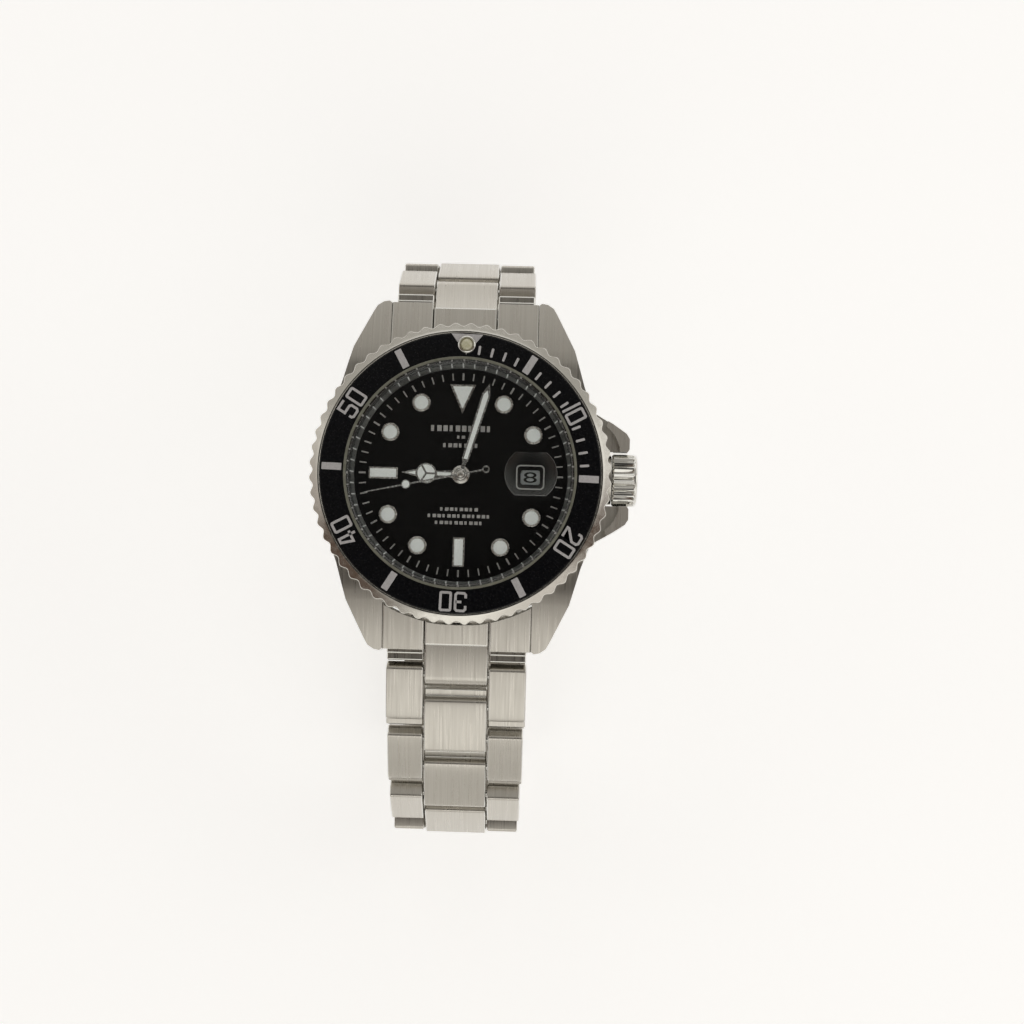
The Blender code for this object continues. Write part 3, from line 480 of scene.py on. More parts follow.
white_print = new_material("white_print", (0.55, 0.53, 0.52), 0.5)
tinted(white_print, grain(white_print, (6.0, 6.0, 6.0)), (0.42, 0.40, 0.39), (0.6, 0.58, 0.57))
relief(white_print, grain(white_print, (20.0, 20.0, 20.0)), 0.004)


def rounded_box(half_x, half_y, corner, at=(0.0, 0.0), steps=4):
    x, y = half_x - corner, half_y - corner
    points = arc_of(corner, 0, 90, steps, (at[0] + x, at[1] + y))
    points += arc_of(corner, 90, 180, steps, (at[0] - x, at[1] + y))
    points += arc_of(corner, 180, 270, steps, (at[0] - x, at[1] - y))
    points += arc_of(corner, 270, 360, steps, (at[0] + x, at[1] - y))
    return points


work = bmesh.new()
window = rounded_box(*WINDOW, 0.2, (WINDOW_X, 0))
plate(work, ring_of(DIAL_R), DIAL_TOP - 0.4, DIAL_TOP, [ring_of(1.1, 32), window])
seated(work, "dial_disc", "head", "dial", "dial_black", black_lacquer, edge=0.04)


def clock(hour):
    return Matrix.Rotation(-math.tau * hour / 12, 4, "Z")


work = bmesh.new()
for minute in range(60):
    half = 0.09 if minute % 5 else 0.12
    tick = [(-half, 12.7), (half, 12.7), (half, 13.65), (-half, 13.65)]
    placed(work, clock(minute / 5), plate, tick, DIAL_TOP, DIAL_TOP + 0.02)
plate(
    work, rounded_box(1.38, 1.2, 0.4, (WINDOW_X, 0)), DIAL_TOP, DIAL_TOP + 0.02,
    [rounded_box(1.25, 1.07, 0.3, (WINDOW_X, 0))],
)
# plain strokes stand above and below the hands, where a dial is usually signed
print_rows = ((5.8, 0.8, 10), (4.85, 0.4, 2), (3.65, 0.55, 7))
print_rows += ((-4.85, 0.45, 8), (-5.75, 0.45, 13), (-6.65, 0.45, 10))
for row_y, tall, strokes in print_rows:
    wide = 0.43 + 0.5 * tall
    left = -strokes * wide / 2
    for k in range(strokes):
        right = left + wide * (0.72 if k % 3 else 0.5)
        stroke = [(left, row_y), (right, row_y), (right, row_y + tall), (left, row_y + tall)]
        placed(work, Matrix.Identity(4), plate, stroke, DIAL_TOP, DIAL_TOP + 0.02)
        left += wide
seated(work, "dial_minute_print", "head", "", "dial_black", white_print)

# ---- Hour markers: chromed frames riveted to the dial, each filled with pale luminous
# paint. Round at most hours, bars at 6 and 9, and a triangle at 12.
lume_paint = new_material("lume_paint", (0.74, 0.74, 0.73), 0.55)
tinted(lume_paint, grain(lume_paint, (9.0, 9.0, 9.0), 5.0), (0.74, 0.74, 0.73), (0.86, 0.86, 0.85))
relief(lume_paint, grain(lume_paint, (16.0, 16.0, 16.0), 4.0), 0.01, 0.7)
set_level(lume_paint, "Emission Color", (0.8, 0.85, 0.8, 1))
set_level(lume_paint, "Emission Strength", 0.2)

chromed = new_material("chromed_trim", (0.72, 0.7, 0.68), 0.34, 1.0)
between(chromed, grain(chromed, (4.0, 4.0, 4.0), 4.0), "Roughness", 0.2, 0.3)
relief(chromed, grain(chromed, (1.5, 1.5, 1.5)), 0.004)

dark_chrome = new_material("dark_chrome", (0.62, 0.59, 0.56), 0.25, 1.0)
between(dark_chrome, grain(dark_chrome, (3.0, 3.0, 3.0), 4.0), "Roughness", 0.22, 0.3)
relief(dark_chrome, grain(dark_chrome, (1.5, 1.5, 1.5)), 0.003)

DOT_AT = 11.05
MARKER_TOP = DIAL_TOP + 0.42
frames = bmesh.new()
fills = bmesh.new()
rim = [(1.25, DIAL_TOP), (1.25, DIAL_TOP + 0.2)]
rim += [(r, z + DIAL_TOP + 0.2) for r, z in arc_of(0.16, 0, 180, 8, (1.09, 0))]
rim += [(0.93, DIAL_TOP)]
drop = [(0, MARKER_TOP - 0.03), (0.6, MARKER_TOP - 0.05), (0.88, MARKER_TOP - 0.12)]
drop += [(0.92, DIAL_TOP), (0, DIAL_TOP)]
for hour in (1, 2, 4, 5, 7, 8, 10, 11):
    turn = clock(hour) @ Matrix.Translation((0, DOT_AT, 0))
    placed(frames, turn, turned, rim, 32)
    placed(fills, turn, turned, drop, 32)


def framed(outer, inner, turn):
    placed(frames, turn, plate, outer, DIAL_TOP, MARKER_TOP, [inner])
    placed(fills, turn, plate, inner, DIAL_TOP, MARKER_TOP - 0.08)


bar = [(-0.78, 8.4), (0.78, 8.4), (0.78, 12.3), (-0.78, 12.3)]
bar_fill = [(-0.56, 8.62), (0.56, 8.62), (0.56, 12.08), (-0.56, 12.08)]
framed(bar, bar_fill, clock(6))
framed(bar, bar_fill, clock(9))
framed([(-1.75, 12.1), (0, 8.2), (1.75, 12.1)], [(-1.32, 11.83), (0, 8.85), (1.32, 11.83)], clock(0))
for piece_work in (frames, fills):
    bmesh.ops.recalc_face_normals(piece_work, faces=piece_work.faces)
    sized(piece_work, lifted())
finished(
    frames, "hour_marker_frames", "head", "", "dial_black", dark_chrome, edge=0.07, segments=3, smooth=40,
)
finished(fills, "hour_marker_lume", "head", "", "dial_black", lume_paint)

# ---- Date ring: a white disc with the numbers 1 to 31 printed in black, which turns
# under the dial and shows one number in the window.
date_white = new_material("date_white_paint", (0.62, 0.64, 0.65), 0.6)
tinted(date_white, grain(date_white, (5.0, 5.0, 5.0)), (0.58, 0.6, 0.61), (0.66, 0.68, 0.69))


def relook(name, look):
    """Gives a finish to a piece that keeps its engineering shape."""
    finishes = frame["nodes"][name].data.materials
    finishes.clear()
    finishes.append(look)


relook("date_ring", date_white)
black_ink = new_material("black_ink", (0.01, 0.01, 0.01), 0.5)
relief(black_ink, grain(black_ink, (30.0, 30.0, 30.0)), 0.003)
date_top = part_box("date_ring")[1][2]
SHOWN_DATE = 8
work = bmesh.new()
for date in range(1, 32):
    writing = bpy.data.curves.new("date_number", "FONT")
    writing.body = str(date)
    writing.align_x, writing.align_y = "CENTER", "CENTER"
    writing.size = 1.4
    writing.extrude = 0.01
    holder = bpy.data.objects.new("date_number", writing)
    scene.collection.objects.link(holder)
    seen = bpy.context.evaluated_depsgraph_get()
    flat = bpy.data.meshes.new_from_object(holder.evaluated_get(seen))
    bpy.data.objects.remove(holder)
    turn = Matrix.Rotation(math.tau * (SHOWN_DATE - date) / 31, 4, "Z")
    widened = Matrix.Diagonal((2.0 if date < 10 else 1.0, 1, 1, 1))
    flat.transform(turn @ Matrix.Translation((WINDOW_X, 0, 0)) @ widened)
    work.from_mesh(flat)
bmesh.ops.remove_doubles(work, verts=work.verts, dist=1e-5)
sized(work, Matrix.Translation((0, 0, date_top + 0.015 * MM)))
finished(work, "date_numbers", "date", "", "date_white", black_ink)

# ---- Hands: stamped steel, polished, pressed on their pipes. The hour hand has a ring
# with three spokes, the minute hand is a baton, and the seconds hand carries a disc.
# Their openings are filled with luminous paint.
HOUR_Z, MINUTE_Z, SECOND_Z = 3.95, 4.4, 4.85
HAND_THICK = 0.14
HANDS_AT = (9, 2, 43)
hour_turn = -math.tau * (HANDS_AT[0] / 12 + HANDS_AT[1] / 720)
minute_turn = -math.tau * (HANDS_AT[1] / 60 + HANDS_AT[2] / 3600)
second_turn = -math.tau * HANDS_AT[2] / 60


def hub(work, radius, low, high):
    dome = [(0, high + 0.12), (radius * 0.55, high + 0.1), (radius * 0.85, high), (radius, high - 0.12)]
    turned(work, dome + [(radius, low), (0, low)], 32)


def hand(name, body, cad, level, turn, steel_plates, lume_plates, hub_r, hub_high):
    work = bmesh.new()
    for outline, holes in steel_plates:
        plate(work, outline, level, level + HAND_THICK, holes)
    sized(work, lifted(turn))
    finished(work, name, body, cad, "steel_polished", chromed, edge=0.065, smooth=35)
    work = bmesh.new()
    hub(work, hub_r, level - 0.06, level + hub_high)
    sized(work, lifted())
    finished(work, name + "_hub", body, "", "steel_polished", dark_chrome, smooth=50)
    work = bmesh.new()
    for outline in lume_plates:
        plate(work, outline, level + 0.02, level + HAND_THICK + 0.03)
    sized(work, lifted(turn))
    finished(work, name + "_lume", body, "", "steel_polished", lume_paint, edge=0.02)


RING_AT, RING_R = 4.6, 1.36
stem_slot = [(-0.2, 1.3), (0.2, 1.3), (0.2, 3.1), (-0.2, 3.1)]
tip_slot = [(-0.22, 6.05), (0.22, 6.05), (0.0, 7.1)]
stem = [(-0.5, 0.6), (0.5, 0.6), (0.36, 3.35), (-0.36, 3.35)]
ring_hole = ring_of(RING_R - 0.22, 48, (0, RING_AT))
tip = [(-0.5, RING_AT + 1.22), (0.5, RING_AT + 1.22), (0.42, 6.2), (0, 7.95), (-0.42, 6.2)]
spokes = []
for k in range(3):
    across = math.radians(-90 + 120 * k)
    ax, ay = math.cos(across), math.sin(across)
    inner, outer, half = -0.05, RING_R - 0.15, 0.15
    spokes.append([
        (ax * inner - ay * half, RING_AT + ay * inner + ax * half),
        (ax * inner + ay * half, RING_AT + ay * inner - ax * half),
        (ax * outer + ay * half, RING_AT + ay * outer - ax * half),
        (ax * outer - ay * half, RING_AT + ay * outer + ax * half),
    ])
hour_plates = [
    (stem, [stem_slot]), (ring_of(RING_R, 48, (0, RING_AT)), [ring_hole]), (tip, [tip_slot]),
    *[(spoke, []) for spoke in spokes],
]
hour_lume = [stem_slot, ring_of(RING_R - 0.2, 48, (0, RING_AT)), tip_slot]
work = bmesh.new()
for outline, holes in hour_plates:
    plate(work, outline, HOUR_Z, HOUR_Z + HAND_THICK, holes)
sized(work, lifted(hour_turn))
finished(work, "hour_hand_steel", "hours", "hour_hand", "steel_polished", chromed, edge=0.06, smooth=35)
work = bmesh.new()
hub(work, 1.2, HOUR_Z - 0.06, HOUR_Z + 0.22)
seated(work, "hour_hand_hub", "hours", "", "steel_polished", dark_chrome, smooth=50)
work = bmesh.new()
for outline in hour_lume:
    plate(work, outline, HOUR_Z + 0.02, HOUR_Z + HAND_THICK - 0.03)
sized(work, lifted(hour_turn))
finished(work, "hour_hand_lume", "hours", "", "steel_polished", lume_paint)

baton_side = [(0.22, 0.5), (0.28, 1.6), (0.46, 2.1), (0.56, 11.2)]
baton = [(-0.22, 0.5), *baton_side, (0, 12.75), *[(-x, y) for x, y in reversed(baton_side[1:])]]
baton_slot = [(-0.24, 2.15), (0.24, 2.15), (0.33, 11.1), (0.0, 11.75), (-0.33, 11.1)]
minute_plates = [(baton, [baton_slot])]
hand(
    "minute_hand_steel", "minutes", "minute_hand", MINUTE_Z, minute_turn, minute_plates, [baton_slot],
    0.85, 0.18,
)

needle = [(-0.13, 0.3), (0.13, 0.3), (0.11, 6.9), (-0.11, 6.9)]
needle_tip = [(-0.11, 7.9), (0.11, 7.9), (0.045, 13.0), (-0.045, 13.0)]
tail = [(0.1, -0.3), (-0.1, -0.3), (-0.1, -3.0), (0.1, -3.0)]
disc_at, tail_at = (0, 7.4), (0, -3.45)
second_plates = [
    (needle, []), (needle_tip, []), (tail, []),
    (ring_of(0.6, 32, disc_at), [ring_of(0.46, 32, disc_at)]),
    (ring_of(0.5, 32, tail_at), [ring_of(0.3, 32, tail_at)]),
]
hand(
    "seconds_hand_steel", "seconds", "seconds_hand", SECOND_Z, second_turn, second_plates,
    [ring_of(0.47, 32, disc_at)], 0.6, 0.16,
)

# ---- Chapter ring: the sloped grey ring between dial and crystal, satin, with sixty fine
# lines engraved and filled.
ring_grey = new_material("ring_grey_satin", (0.3, 0.3, 0.3), 0.3, 0.5)
between(ring_grey, grain(ring_grey, (3.0, 3.0, 3.0), 5.0), "Roughness", 0.24, 0.42)
ring_tone = grain(ring_grey, (0.08, 0.08, 0.5), 2.0)
tinted(ring_grey, ring_tone, (0.16, 0.16, 0.155), (0.42, 0.42, 0.41), 0.35, 0.65)
ring_dark = new_material("ring_shadow_band", (0.07, 0.07, 0.07), 0.3)
between(ring_dark, grain(ring_dark, (3.0, 3.0, 3.0), 5.0), "Roughness", 0.2, 0.4)
line_grey = new_material("ring_line_paint", (0.8, 0.8, 0.78), 0.4)
tinted(line_grey, grain(line_grey, (6.0, 6.0, 6.0)), (0.72, 0.72, 0.7), (0.86, 0.86, 0.84))
# the lines also glow faintly: painted light that makes them read brighter than their paint
set_level(line_grey, "Emission Color", (1, 1, 1, 1))
set_level(line_grey, "Emission Strength", 0.08)
work = bmesh.new()
RING_IN, RING_OUT, RING_LOW, RING_HIGH = 14.25, 14.9, DIAL_TOP + 0.02, 6.2
slope = [(RING_OUT, RING_HIGH), (RING_OUT, RING_LOW), (RING_IN, RING_LOW), (RING_IN + 0.05, 4.6)]
slope += [(RING_OUT - 0.28, 5.4), (RING_OUT - 0.12, RING_HIGH)]
turned(work, slope, 120)
for face in work.faces:
    face.material_index = 1 if face.calc_center_median().z > 5.5 else 0
seated(work, "chapter_ring_satin", "head", "chapter_ring", "ring_grey", ring_grey, ring_dark)
work = bmesh.new()
stand = Matrix.Translation((0, RING_IN + 0.04, 4.55)) @ Matrix.Rotation(math.radians(70), 4, "X")
engraved = [(-0.08, 0), (0.08, 0), (0.08, 1.7), (-0.08, 1.7)]
for minute in range(60):
    placed(work, clock(minute / 5) @ stand, plate, engraved, 0, 0.03)
seated(work, "chapter_ring_lines", "head", "", "ring_grey", line_grey)

# ---- Crystal and date lens: mineral glass, ground flat with a small bright chamfer. The
# lens is a block with a domed top, glued over the date, and magnifies it.
CRYSTAL_R = 15.05
CRYSTAL_LOW, CRYSTAL_TOP = 6.35, 8.2


def clear_glass(name, tint):
    made = new_material(name, tint, 0.0)
    nodes, links = made.node_tree.nodes, made.node_tree.links
    shader = nodes["Principled BSDF"]
    shader.inputs["Transmission Weight"].default_value = 1.0
    shader.inputs["IOR"].default_value = 1.52
    path = nodes.new("ShaderNodeLightPath")
    clear = nodes.new("ShaderNodeBsdfTransparent")
    clear.inputs["Color"].default_value = (*tint, 1)
    mix = nodes.new("ShaderNodeMixShader")
    links.new(path.outputs["Is Shadow Ray"], mix.inputs["Fac"])
    links.new(shader.outputs["BSDF"], mix.inputs[1])
    links.new(clear.outputs["BSDF"], mix.inputs[2])
    links.new(mix.outputs["Shader"], nodes["Material Output"].inputs["Surface"])
    return made


mineral_glass = clear_glass("mineral_glass", (0.97, 0.985, 0.98))
work = bmesh.new()
ground = [(0, CRYSTAL_TOP), (CRYSTAL_R - 0.3, CRYSTAL_TOP), (CRYSTAL_R, CRYSTAL_TOP - 0.3)]
ground += [(CRYSTAL_R, CRYSTAL_LOW), (0, CRYSTAL_LOW)]
turned(work, ground, 128)
seated(work, "crystal_disc", "head", "crystal", "crystal_glass", mineral_glass, smooth=20)

lens_glass = clear_glass("lens_glass", (0.97, 0.985, 0.98))
set_level(lens_glass, "Specular IOR Level", 0.08)
set_level(lens_glass, "Specular Tint", (0.1, 0.1, 0.1, 1))
LENS_X = 9.35
LENS_FACET = 0.37
work = bmesh.new()
lens_plan = arc_of(3.5, -53, 53, 20, (-0.1, 0)) + arc_of(3.5, 127, 233, 20, (0.1, 0))
plate(work, lens_plan, 0.0, 0.42)
for cut in range(-9, 10):
    for normal in ((1, 0, 0), (0, 1, 0)):
        cut_across(work, (cut * LENS_FACET, cut * LENS_FACET, 0), normal)
for corner in work.verts:
    if corner.co.z > 0.2:
        across = (corner.co.x**2 + corner.co.y**2) ** 0.5
        corner.co.z += 0.75 * (1 - (across / 3.6) ** 2)
sized(work, Matrix.Translation((LENS_X * MM, 0, bar_height + (CRYSTAL_TOP + 0.01) * MM)))
finished(work, "date_lens_dome", "head", "date_lens", "crystal_glass", lens_glass, smooth=25)

# a thin pale ring on the ground edge of the lens is a painted highlight, standing in for the light that the
# edge catches
work = bmesh.new()
edge_out, edge_in = ([(x * grow, y * grow) for x, y in lens_plan] for grow in (1.02, 0.99))
plate(work, edge_out, 0.0, 0.1, [edge_in])
sized(work, Matrix.Translation((LENS_X * MM, 0, bar_height + (CRYSTAL_TOP + 0.01) * MM)))
finished(work, "date_lens_ground_edge", "head", "", "crystal_glass", ring_grey)

seal_grey = new_material("seal_grey", (0.22, 0.22, 0.18), 0.35)
between(seal_grey, grain(seal_grey, (2.0, 2.0, 2.0), 4.0), "Roughness", 0.3, 0.45)
tinted(seal_grey, grain(seal_grey, (1.0, 1.0, 1.0), 4.0), (0.17, 0.17, 0.135), (0.24, 0.24, 0.195))
work = bmesh.new()
turned(work, [(15.42, 8.02), (15.42, CRYSTAL_LOW), (15.08, CRYSTAL_LOW), (15.08, 8.02)], 96)
seated(work, "crystal_seal", "head", "crystal_gasket", "nylon_white", seal_grey, edge=0.05)

# ---- Bezel: a steel ring turned and milled with sixty scallops for grip, polished. It
# clicks round on the neck and holds the black insert.
BEZEL_LOW, BEZEL_TOP = 4.9, 7.8
BEZEL_R = 20.0
SCALLOPS = 60
INSERT_R, INSERT_IN_R = 18.55, 15.45
INSERT_REST = 7.1
bezel_turn = math.radians(-1.5)
rim_steel = new_material("rim_steel", (0.66, 0.64, 0.59), 0.2, 1.0)
between(rim_steel, grain(rim_steel, (1.6, 1.6, 1.6), 5.0), "Roughness", 0.15, 0.27)
relief(rim_steel, grain(rim_steel, (0.5, 0.5, 0.5), 2.0), 0.002, 0.3)
SCALLOP_TURN = math.radians(-1.3)


def scalloped(radius, depth, count, steps=10):
    """A round outline with rounded teeth and shallow hollows between them."""
    points = []
    for k in range(count * steps):
        a = math.tau * k / (count * steps)
        wave = 0.5 + 0.5 * math.cos(count * (a - SCALLOP_TURN))
        r = radius - depth * (1 - wave)
        points.append((r * math.cos(a), r * math.sin(a)))
    return points


def walls_up(work, loop, outline, height):
    """Extrudes a loop of edges and sets the new corners to an outline at a height."""
    grown = bmesh.ops.extrude_edge_only(work, edges=loop)
    corners = [part for part in grown["geom"] if isinstance(part, bmesh.types.BMVert)]
    order = sorted(corners, key=lambda v: math.atan2(v.co.y, v.co.x) % math.tau)
    for corner, (x, y) in zip(order, outline):
        corner.co = (x, y, height(math.hypot(x, y)) if callable(height) else height)
    risen = set(corners)
    edges = [part for part in grown["geom"] if isinstance(part, bmesh.types.BMEdge)]
    return [part for part in edges if all(v in risen for v in part.verts)]


def stacked(work, levels):
    """A closed ring through a list of (outline, height) loops, joined end to start."""
    outline, height = levels[0]
    first = [work.verts.new((x, y, height)) for x, y in outline]
    loop = [work.edges.new(pair) for pair in zip(first, first[1:] + first[:1])]
    start = loop
    for outline, height in levels[1:]:
        loop = walls_up(work, loop, outline, height)
    bmesh.ops.bridge_loops(work, edges=start + loop)
    bmesh.ops.recalc_face_normals(work, faces=work.faces)


def on_cone(radius):
    """Height of the bezel's shallow sloping rim at a radius."""
    return BEZEL_TOP - 0.05 - 0.36 * (radius - 18.95)


wavy = scalloped(BEZEL_R, 0.45, SCALLOPS)
count = len(wavy)
work = bmesh.new()
stacked(work, [
    (ring_of(16.3, count), INSERT_REST), (ring_of(16.3, count), BEZEL_LOW), (ring_of(19.1, count), BEZEL_LOW),
    (scalloped(BEZEL_R - 0.1, 0.4, SCALLOPS), BEZEL_LOW + 0.12), (wavy, BEZEL_LOW + 0.3),
    (wavy, lambda r: on_cone(r) - 0.1), (scalloped(BEZEL_R - 0.08, 0.45, SCALLOPS), on_cone),
    (ring_of(19.2, count), on_cone), (ring_of(18.95, count), on_cone),
    (ring_of(18.85, count), BEZEL_TOP), (ring_of(18.68, count), BEZEL_TOP),
    (ring_of(18.62, count), BEZEL_TOP - 0.06), (ring_of(18.62, count), INSERT_REST),
])
sized(work, lifted(bezel_turn))
finished(work, "bezel_ring_scalloped", "bezel", "bezel_ring", "steel_polished", rim_steel, smooth=24)

# ---- Bezel insert: a flat ring of anodised aluminium, glossy black with a faint blue
# sparkle, with its scale cut through to bright silver.
black_insert = new_material("black_insert", (0.006, 0.006, 0.009), 0.1)
set_level(black_insert, "Coat Weight", 0.8)
set_level(black_insert, "Coat Roughness", 0.08)
sparkle = grain(black_insert, (5.0, 5.0, 5.0), 6.0)
tinted(black_insert, sparkle, (0.002, 0.002, 0.003), (0.004, 0.005, 0.009), 0.5, 0.8)
between(black_insert, grain(black_insert, (4.0, 4.0, 4.0), 6.0), "Roughness", 0.12, 0.3)
silver_scale = new_material("silver_scale", (0.62, 0.61, 0.62), 0.45, 0.6)
tinted(silver_scale, grain(silver_scale, (8.0, 8.0, 8.0), 4.0), (0.66, 0.65, 0.66), (0.82, 0.81, 0.83))
between(silver_scale, grain(silver_scale, (5.0, 5.0, 5.0), 4.0), "Roughness", 0.35, 0.55)

PEARL_AT = 17.05
work = bmesh.new()
plate(work, ring_of(INSERT_R, 128), INSERT_REST, BEZEL_TOP - 0.03, [ring_of(INSERT_IN_R, 128)])
sized(work, lifted(bezel_turn))
finished(work, "bezel_insert_black", "bezel", "bezel_insert", "black_gloss", black_insert, edge=0.08)

STROKE = 0.34
DIGIT = (1.67, 2.66)
SCALE_IN, SCALE_OUT = 15.68, 18.3


def ribbon(points, half):
    """The outline of a line of even width drawn through points, square at its ends."""
    left, right = [], []
    for k, (x, y) in enumerate(points):
        ahead = Vector(points[min(k + 1, len(points) - 1)]) - Vector(points[k])
        behind = Vector(points[k]) - Vector(points[max(k - 1, 0)])
        ahead = ahead.normalized() if ahead.length else behind.normalized()
        behind = behind.normalized() if behind.length else ahead
        along = (ahead + behind).normalized()
        reach = half / max(0.5, along.dot(ahead))
        left.append((x - along.y * reach, y + along.x * reach))
        right.append((x + along.y * reach, y - along.x * reach))
    return left + right[::-1]


def digit_plates(digit, x):
    """Outlines and holes of one squared numeral, its left edge at x."""
    w, h, s = DIGIT[0] - STROKE, DIGIT[1] - STROKE, STROKE / 2
    c = 0.22
    crown = [(0, h - c), (c, h), (w - c, h), (w, h - c)]
    foot = [(w, c), (w - c, 0), (c, 0), (0, c)]
    lines = {
        "1": [[(0, -s), (0, h + s)]],
        "2": [[(0, h * 0.72), *crown, (w, h * 0.62), (0, c), (0, 0), (w, 0)]],
        "3": [
            [(0, h * 0.7), *crown, *foot, (0, h * 0.28)],
            [(w * 0.4, h * 0.5), (w, h * 0.5)],
        ],
        "4": [[(w * 0.75, 0), (w * 0.75, h), (w * 0.35, h), (0, h * 0.3), (w * 1.1, h * 0.3)]],
        "5": [[(w, h), (0, h), (0, h * 0.55), (w - c, h * 0.55), (w, h * 0.55 - c), *foot, (0, h * 0.25)]],
    }
    if digit == "0":
        mid = (x + w / 2 + s, h / 2 + s)
        outer = rounded_box(DIGIT[0] / 2, DIGIT[1] / 2, 0.3, mid)
        inner = rounded_box(DIGIT[0] / 2 - STROKE, DIGIT[1] / 2 - STROKE, 0.08, mid)
        return [(outer, [inner])]
    return [(ribbon([(x + s + a, s + b) for a, b in line], s), []) for line in lines[digit]]


work = bmesh.new()
scale_low, scale_high = BEZEL_TOP - 0.05, BEZEL_TOP - 0.005
for minute in range(1, 60):
    turn = clock(minute / 5)
    if minute % 10 == 0:
        stand = turn @ Matrix.Translation((0, SCALE_IN - 0.02, 0))
        tens = str(minute // 10)
        wide = STROKE if tens == "1" else DIGIT[0]
        left = -(wide + 0.3 + DIGIT[0]) / 2
        for outline, holes in digit_plates(tens, left) + digit_plates("0", left + wide + 0.3):
            placed(work, stand, plate, outline, scale_low, scale_high, holes)
    elif minute % 5 == 0:
        bar = rounded_box(0.47, (SCALE_OUT - SCALE_IN) / 2, 0.06, (0, (SCALE_OUT + SCALE_IN) / 2))
        placed(work, turn, plate, bar, scale_low, scale_high)
    elif minute < 15:
        placed(work, turn, plate, rounded_box(0.165, 0.62, 0.12, (0, 16.42)), scale_low, scale_high)
plate(work, [(-2.12, 18.45), (0, 15.72), (2.12, 18.45)], scale_low, scale_high)
sized(work, lifted(bezel_turn))
finished(work, "bezel_scale", "bezel", "", "black_gloss", silver_scale)

# ---- Pearl: a drop of luminous paint in a polished steel cup, pressed into the insert at
# the zero mark.
cream_lume = new_material("cream_lume", (0.62, 0.6, 0.42), 0.35)
tinted(cream_lume, grain(cream_lume, (3.0, 3.0, 3.0), 4.0), (0.52, 0.5, 0.3), (0.72, 0.70, 0.55))
set_level(cream_lume, "Coat Weight", 0.7)
work = bmesh.new()
turned(work, [(1.22, 7.6), (1.2, 7.95), (1.08, 8.12), (0.92, 8.14), (0.8, 8.0), (0.8, 7.6)], 48)
bmesh.ops.translate(work, verts=work.verts, vec=(0, PEARL_AT, 0))
sized(work, lifted(bezel_turn))
finished(work, "pearl_cup", "bezel", "", "steel_polished", polished_steel, smooth=50)
work = bmesh.new()
turned(work, [(0, 8.28), (0.3, 8.25), (0.58, 8.16), (0.76, 8.02), (0.8, 7.9), (0.8, 7.6), (0, 7.6)], 48)
bmesh.ops.translate(work, verts=work.verts, vec=(0, PEARL_AT, 0))
sized(work, lifted(bezel_turn))
finished(work, "pearl_lume", "bezel", "bezel_pearl", "lume", cream_lume, smooth=50)

# ---- Crown: turned steel, fluted for grip, polished, on a stem that runs through the
# tube in the case.
CROWN_Z = joints["crown_turn"]["pos_m"][2]
crown_in, crown_out = (corner[0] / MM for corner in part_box("crown"))
FLUTES = 22


def fluted(radius, depth, count, steps=8):
    points = []
    for k in range(count * steps):
        a = math.tau * k / (count * steps)
        wave = abs(math.sin(count * a / 2)) ** 1.6
        r = radius - depth * (1 - wave)
        points.append((r * math.cos(a), r * math.sin(a)))
    return points


teeth = fluted(3.5, 0.38, FLUTES)
count = len(teeth)
length = crown_out - crown_in
work = bmesh.new()
stacked(work, [
    (ring_of(1.8, count), 1.6), (ring_of(1.8, count), 0.0), (ring_of(2.9, count), 0.0),
    (fluted(3.3, 0.25, FLUTES), 0.05), (fluted(3.5, 0.36, FLUTES), 0.25),
    (teeth, 0.4), (teeth, length - 0.75), (fluted(3.5, 0.2, FLUTES), length - 0.5),
    (ring_of(3.42, count), length - 0.42), (ring_of(3.42, count), length - 0.25),
    (ring_of(3.25, count), length - 0.06), (ring_of(3.0, count), length), (ring_of(0.3, count), length + 0.0),
    (ring_of(0.3, count), 1.6),
])
sized(work, Matrix.Translation((crown_in * MM, 0, CROWN_Z)) @ toward_x)
finished(work, "crown_fluted", "crown", "crown", "steel_polished", polished_steel, smooth=32)
work = bmesh.new()
turned(work, [(0, length + 0.03), (0.33, length + 0.02), (0.36, length - 0.2), (0, length - 0.2)], 32)
sized(work, Matrix.Translation((crown_in * MM, 0, CROWN_Z)) @ toward_x)
finished(work, "crown_cap", "crown", "", "steel_polished", polished_steel)

# ---- End links: folded steel blocks that fill the space between the lugs, satin, held by
# the lug spring bars. Two grooves continue the three rows of the bracelet.
GROOVE_X = 4.3
LIP_X, LIP_FROM_Y, LIP_TO_Y = 9.35, 22.9, 24.85
link_looks = (satin_steel, polished_steel)
end_rows = (
    (-9.93, -GROOVE_X - 0.05, 23.4),
    (-GROOVE_X + 0.05, GROOVE_X - 0.05, 22.75),
    (GROOVE_X + 0.05, 9.93, 23.4),
)
for side, clock_name in ((1, "12"), (-1, "6")):
    work = bmesh.new()
    for low_x, high_x, reach in end_rows:
        inner = []
        for k in range(9):
            x = low_x + (high_x - low_x) * k / 8
            inner.append((x, (19.9**2 - x**2) ** 0.5))
        plate(work, inner + [(high_x, reach), (low_x, reach)], CASE_BOTTOM + 0.3, CASE_TOP + 0.02)
    slope_down(work, CASE_TOP)
    for sign in (1, -1):
        inner_x, outer_x = sign * (GROOVE_X + 0.1), sign * LIP_X
        lip = [(inner_x, LIP_FROM_Y), (outer_x, LIP_FROM_Y), (outer_x, LIP_TO_Y), (inner_x, LIP_TO_Y)]
        placed(work, Matrix.Identity(4), plate, lip[::sign], CASE_BOTTOM + 0.5, 0.8)
        placed(work, Matrix.Identity(4), plate, [(x, min(y, 23.95)) for x, y in lip[::sign]], 0.5, 1.3)
    if side < 0:
        bmesh.ops.rotate(work, cent=(0, 0, 0), matrix=Matrix.Rotation(math.pi, 3, "Z"), verts=work.verts)
    sized(work, lifted())
    name = f"end_link_{clock_name}"
    finished(
        work, name + "_satin", "head", name, "steel_satin", *link_looks, edge=0.22, segments=3, edge_look=1,
    )

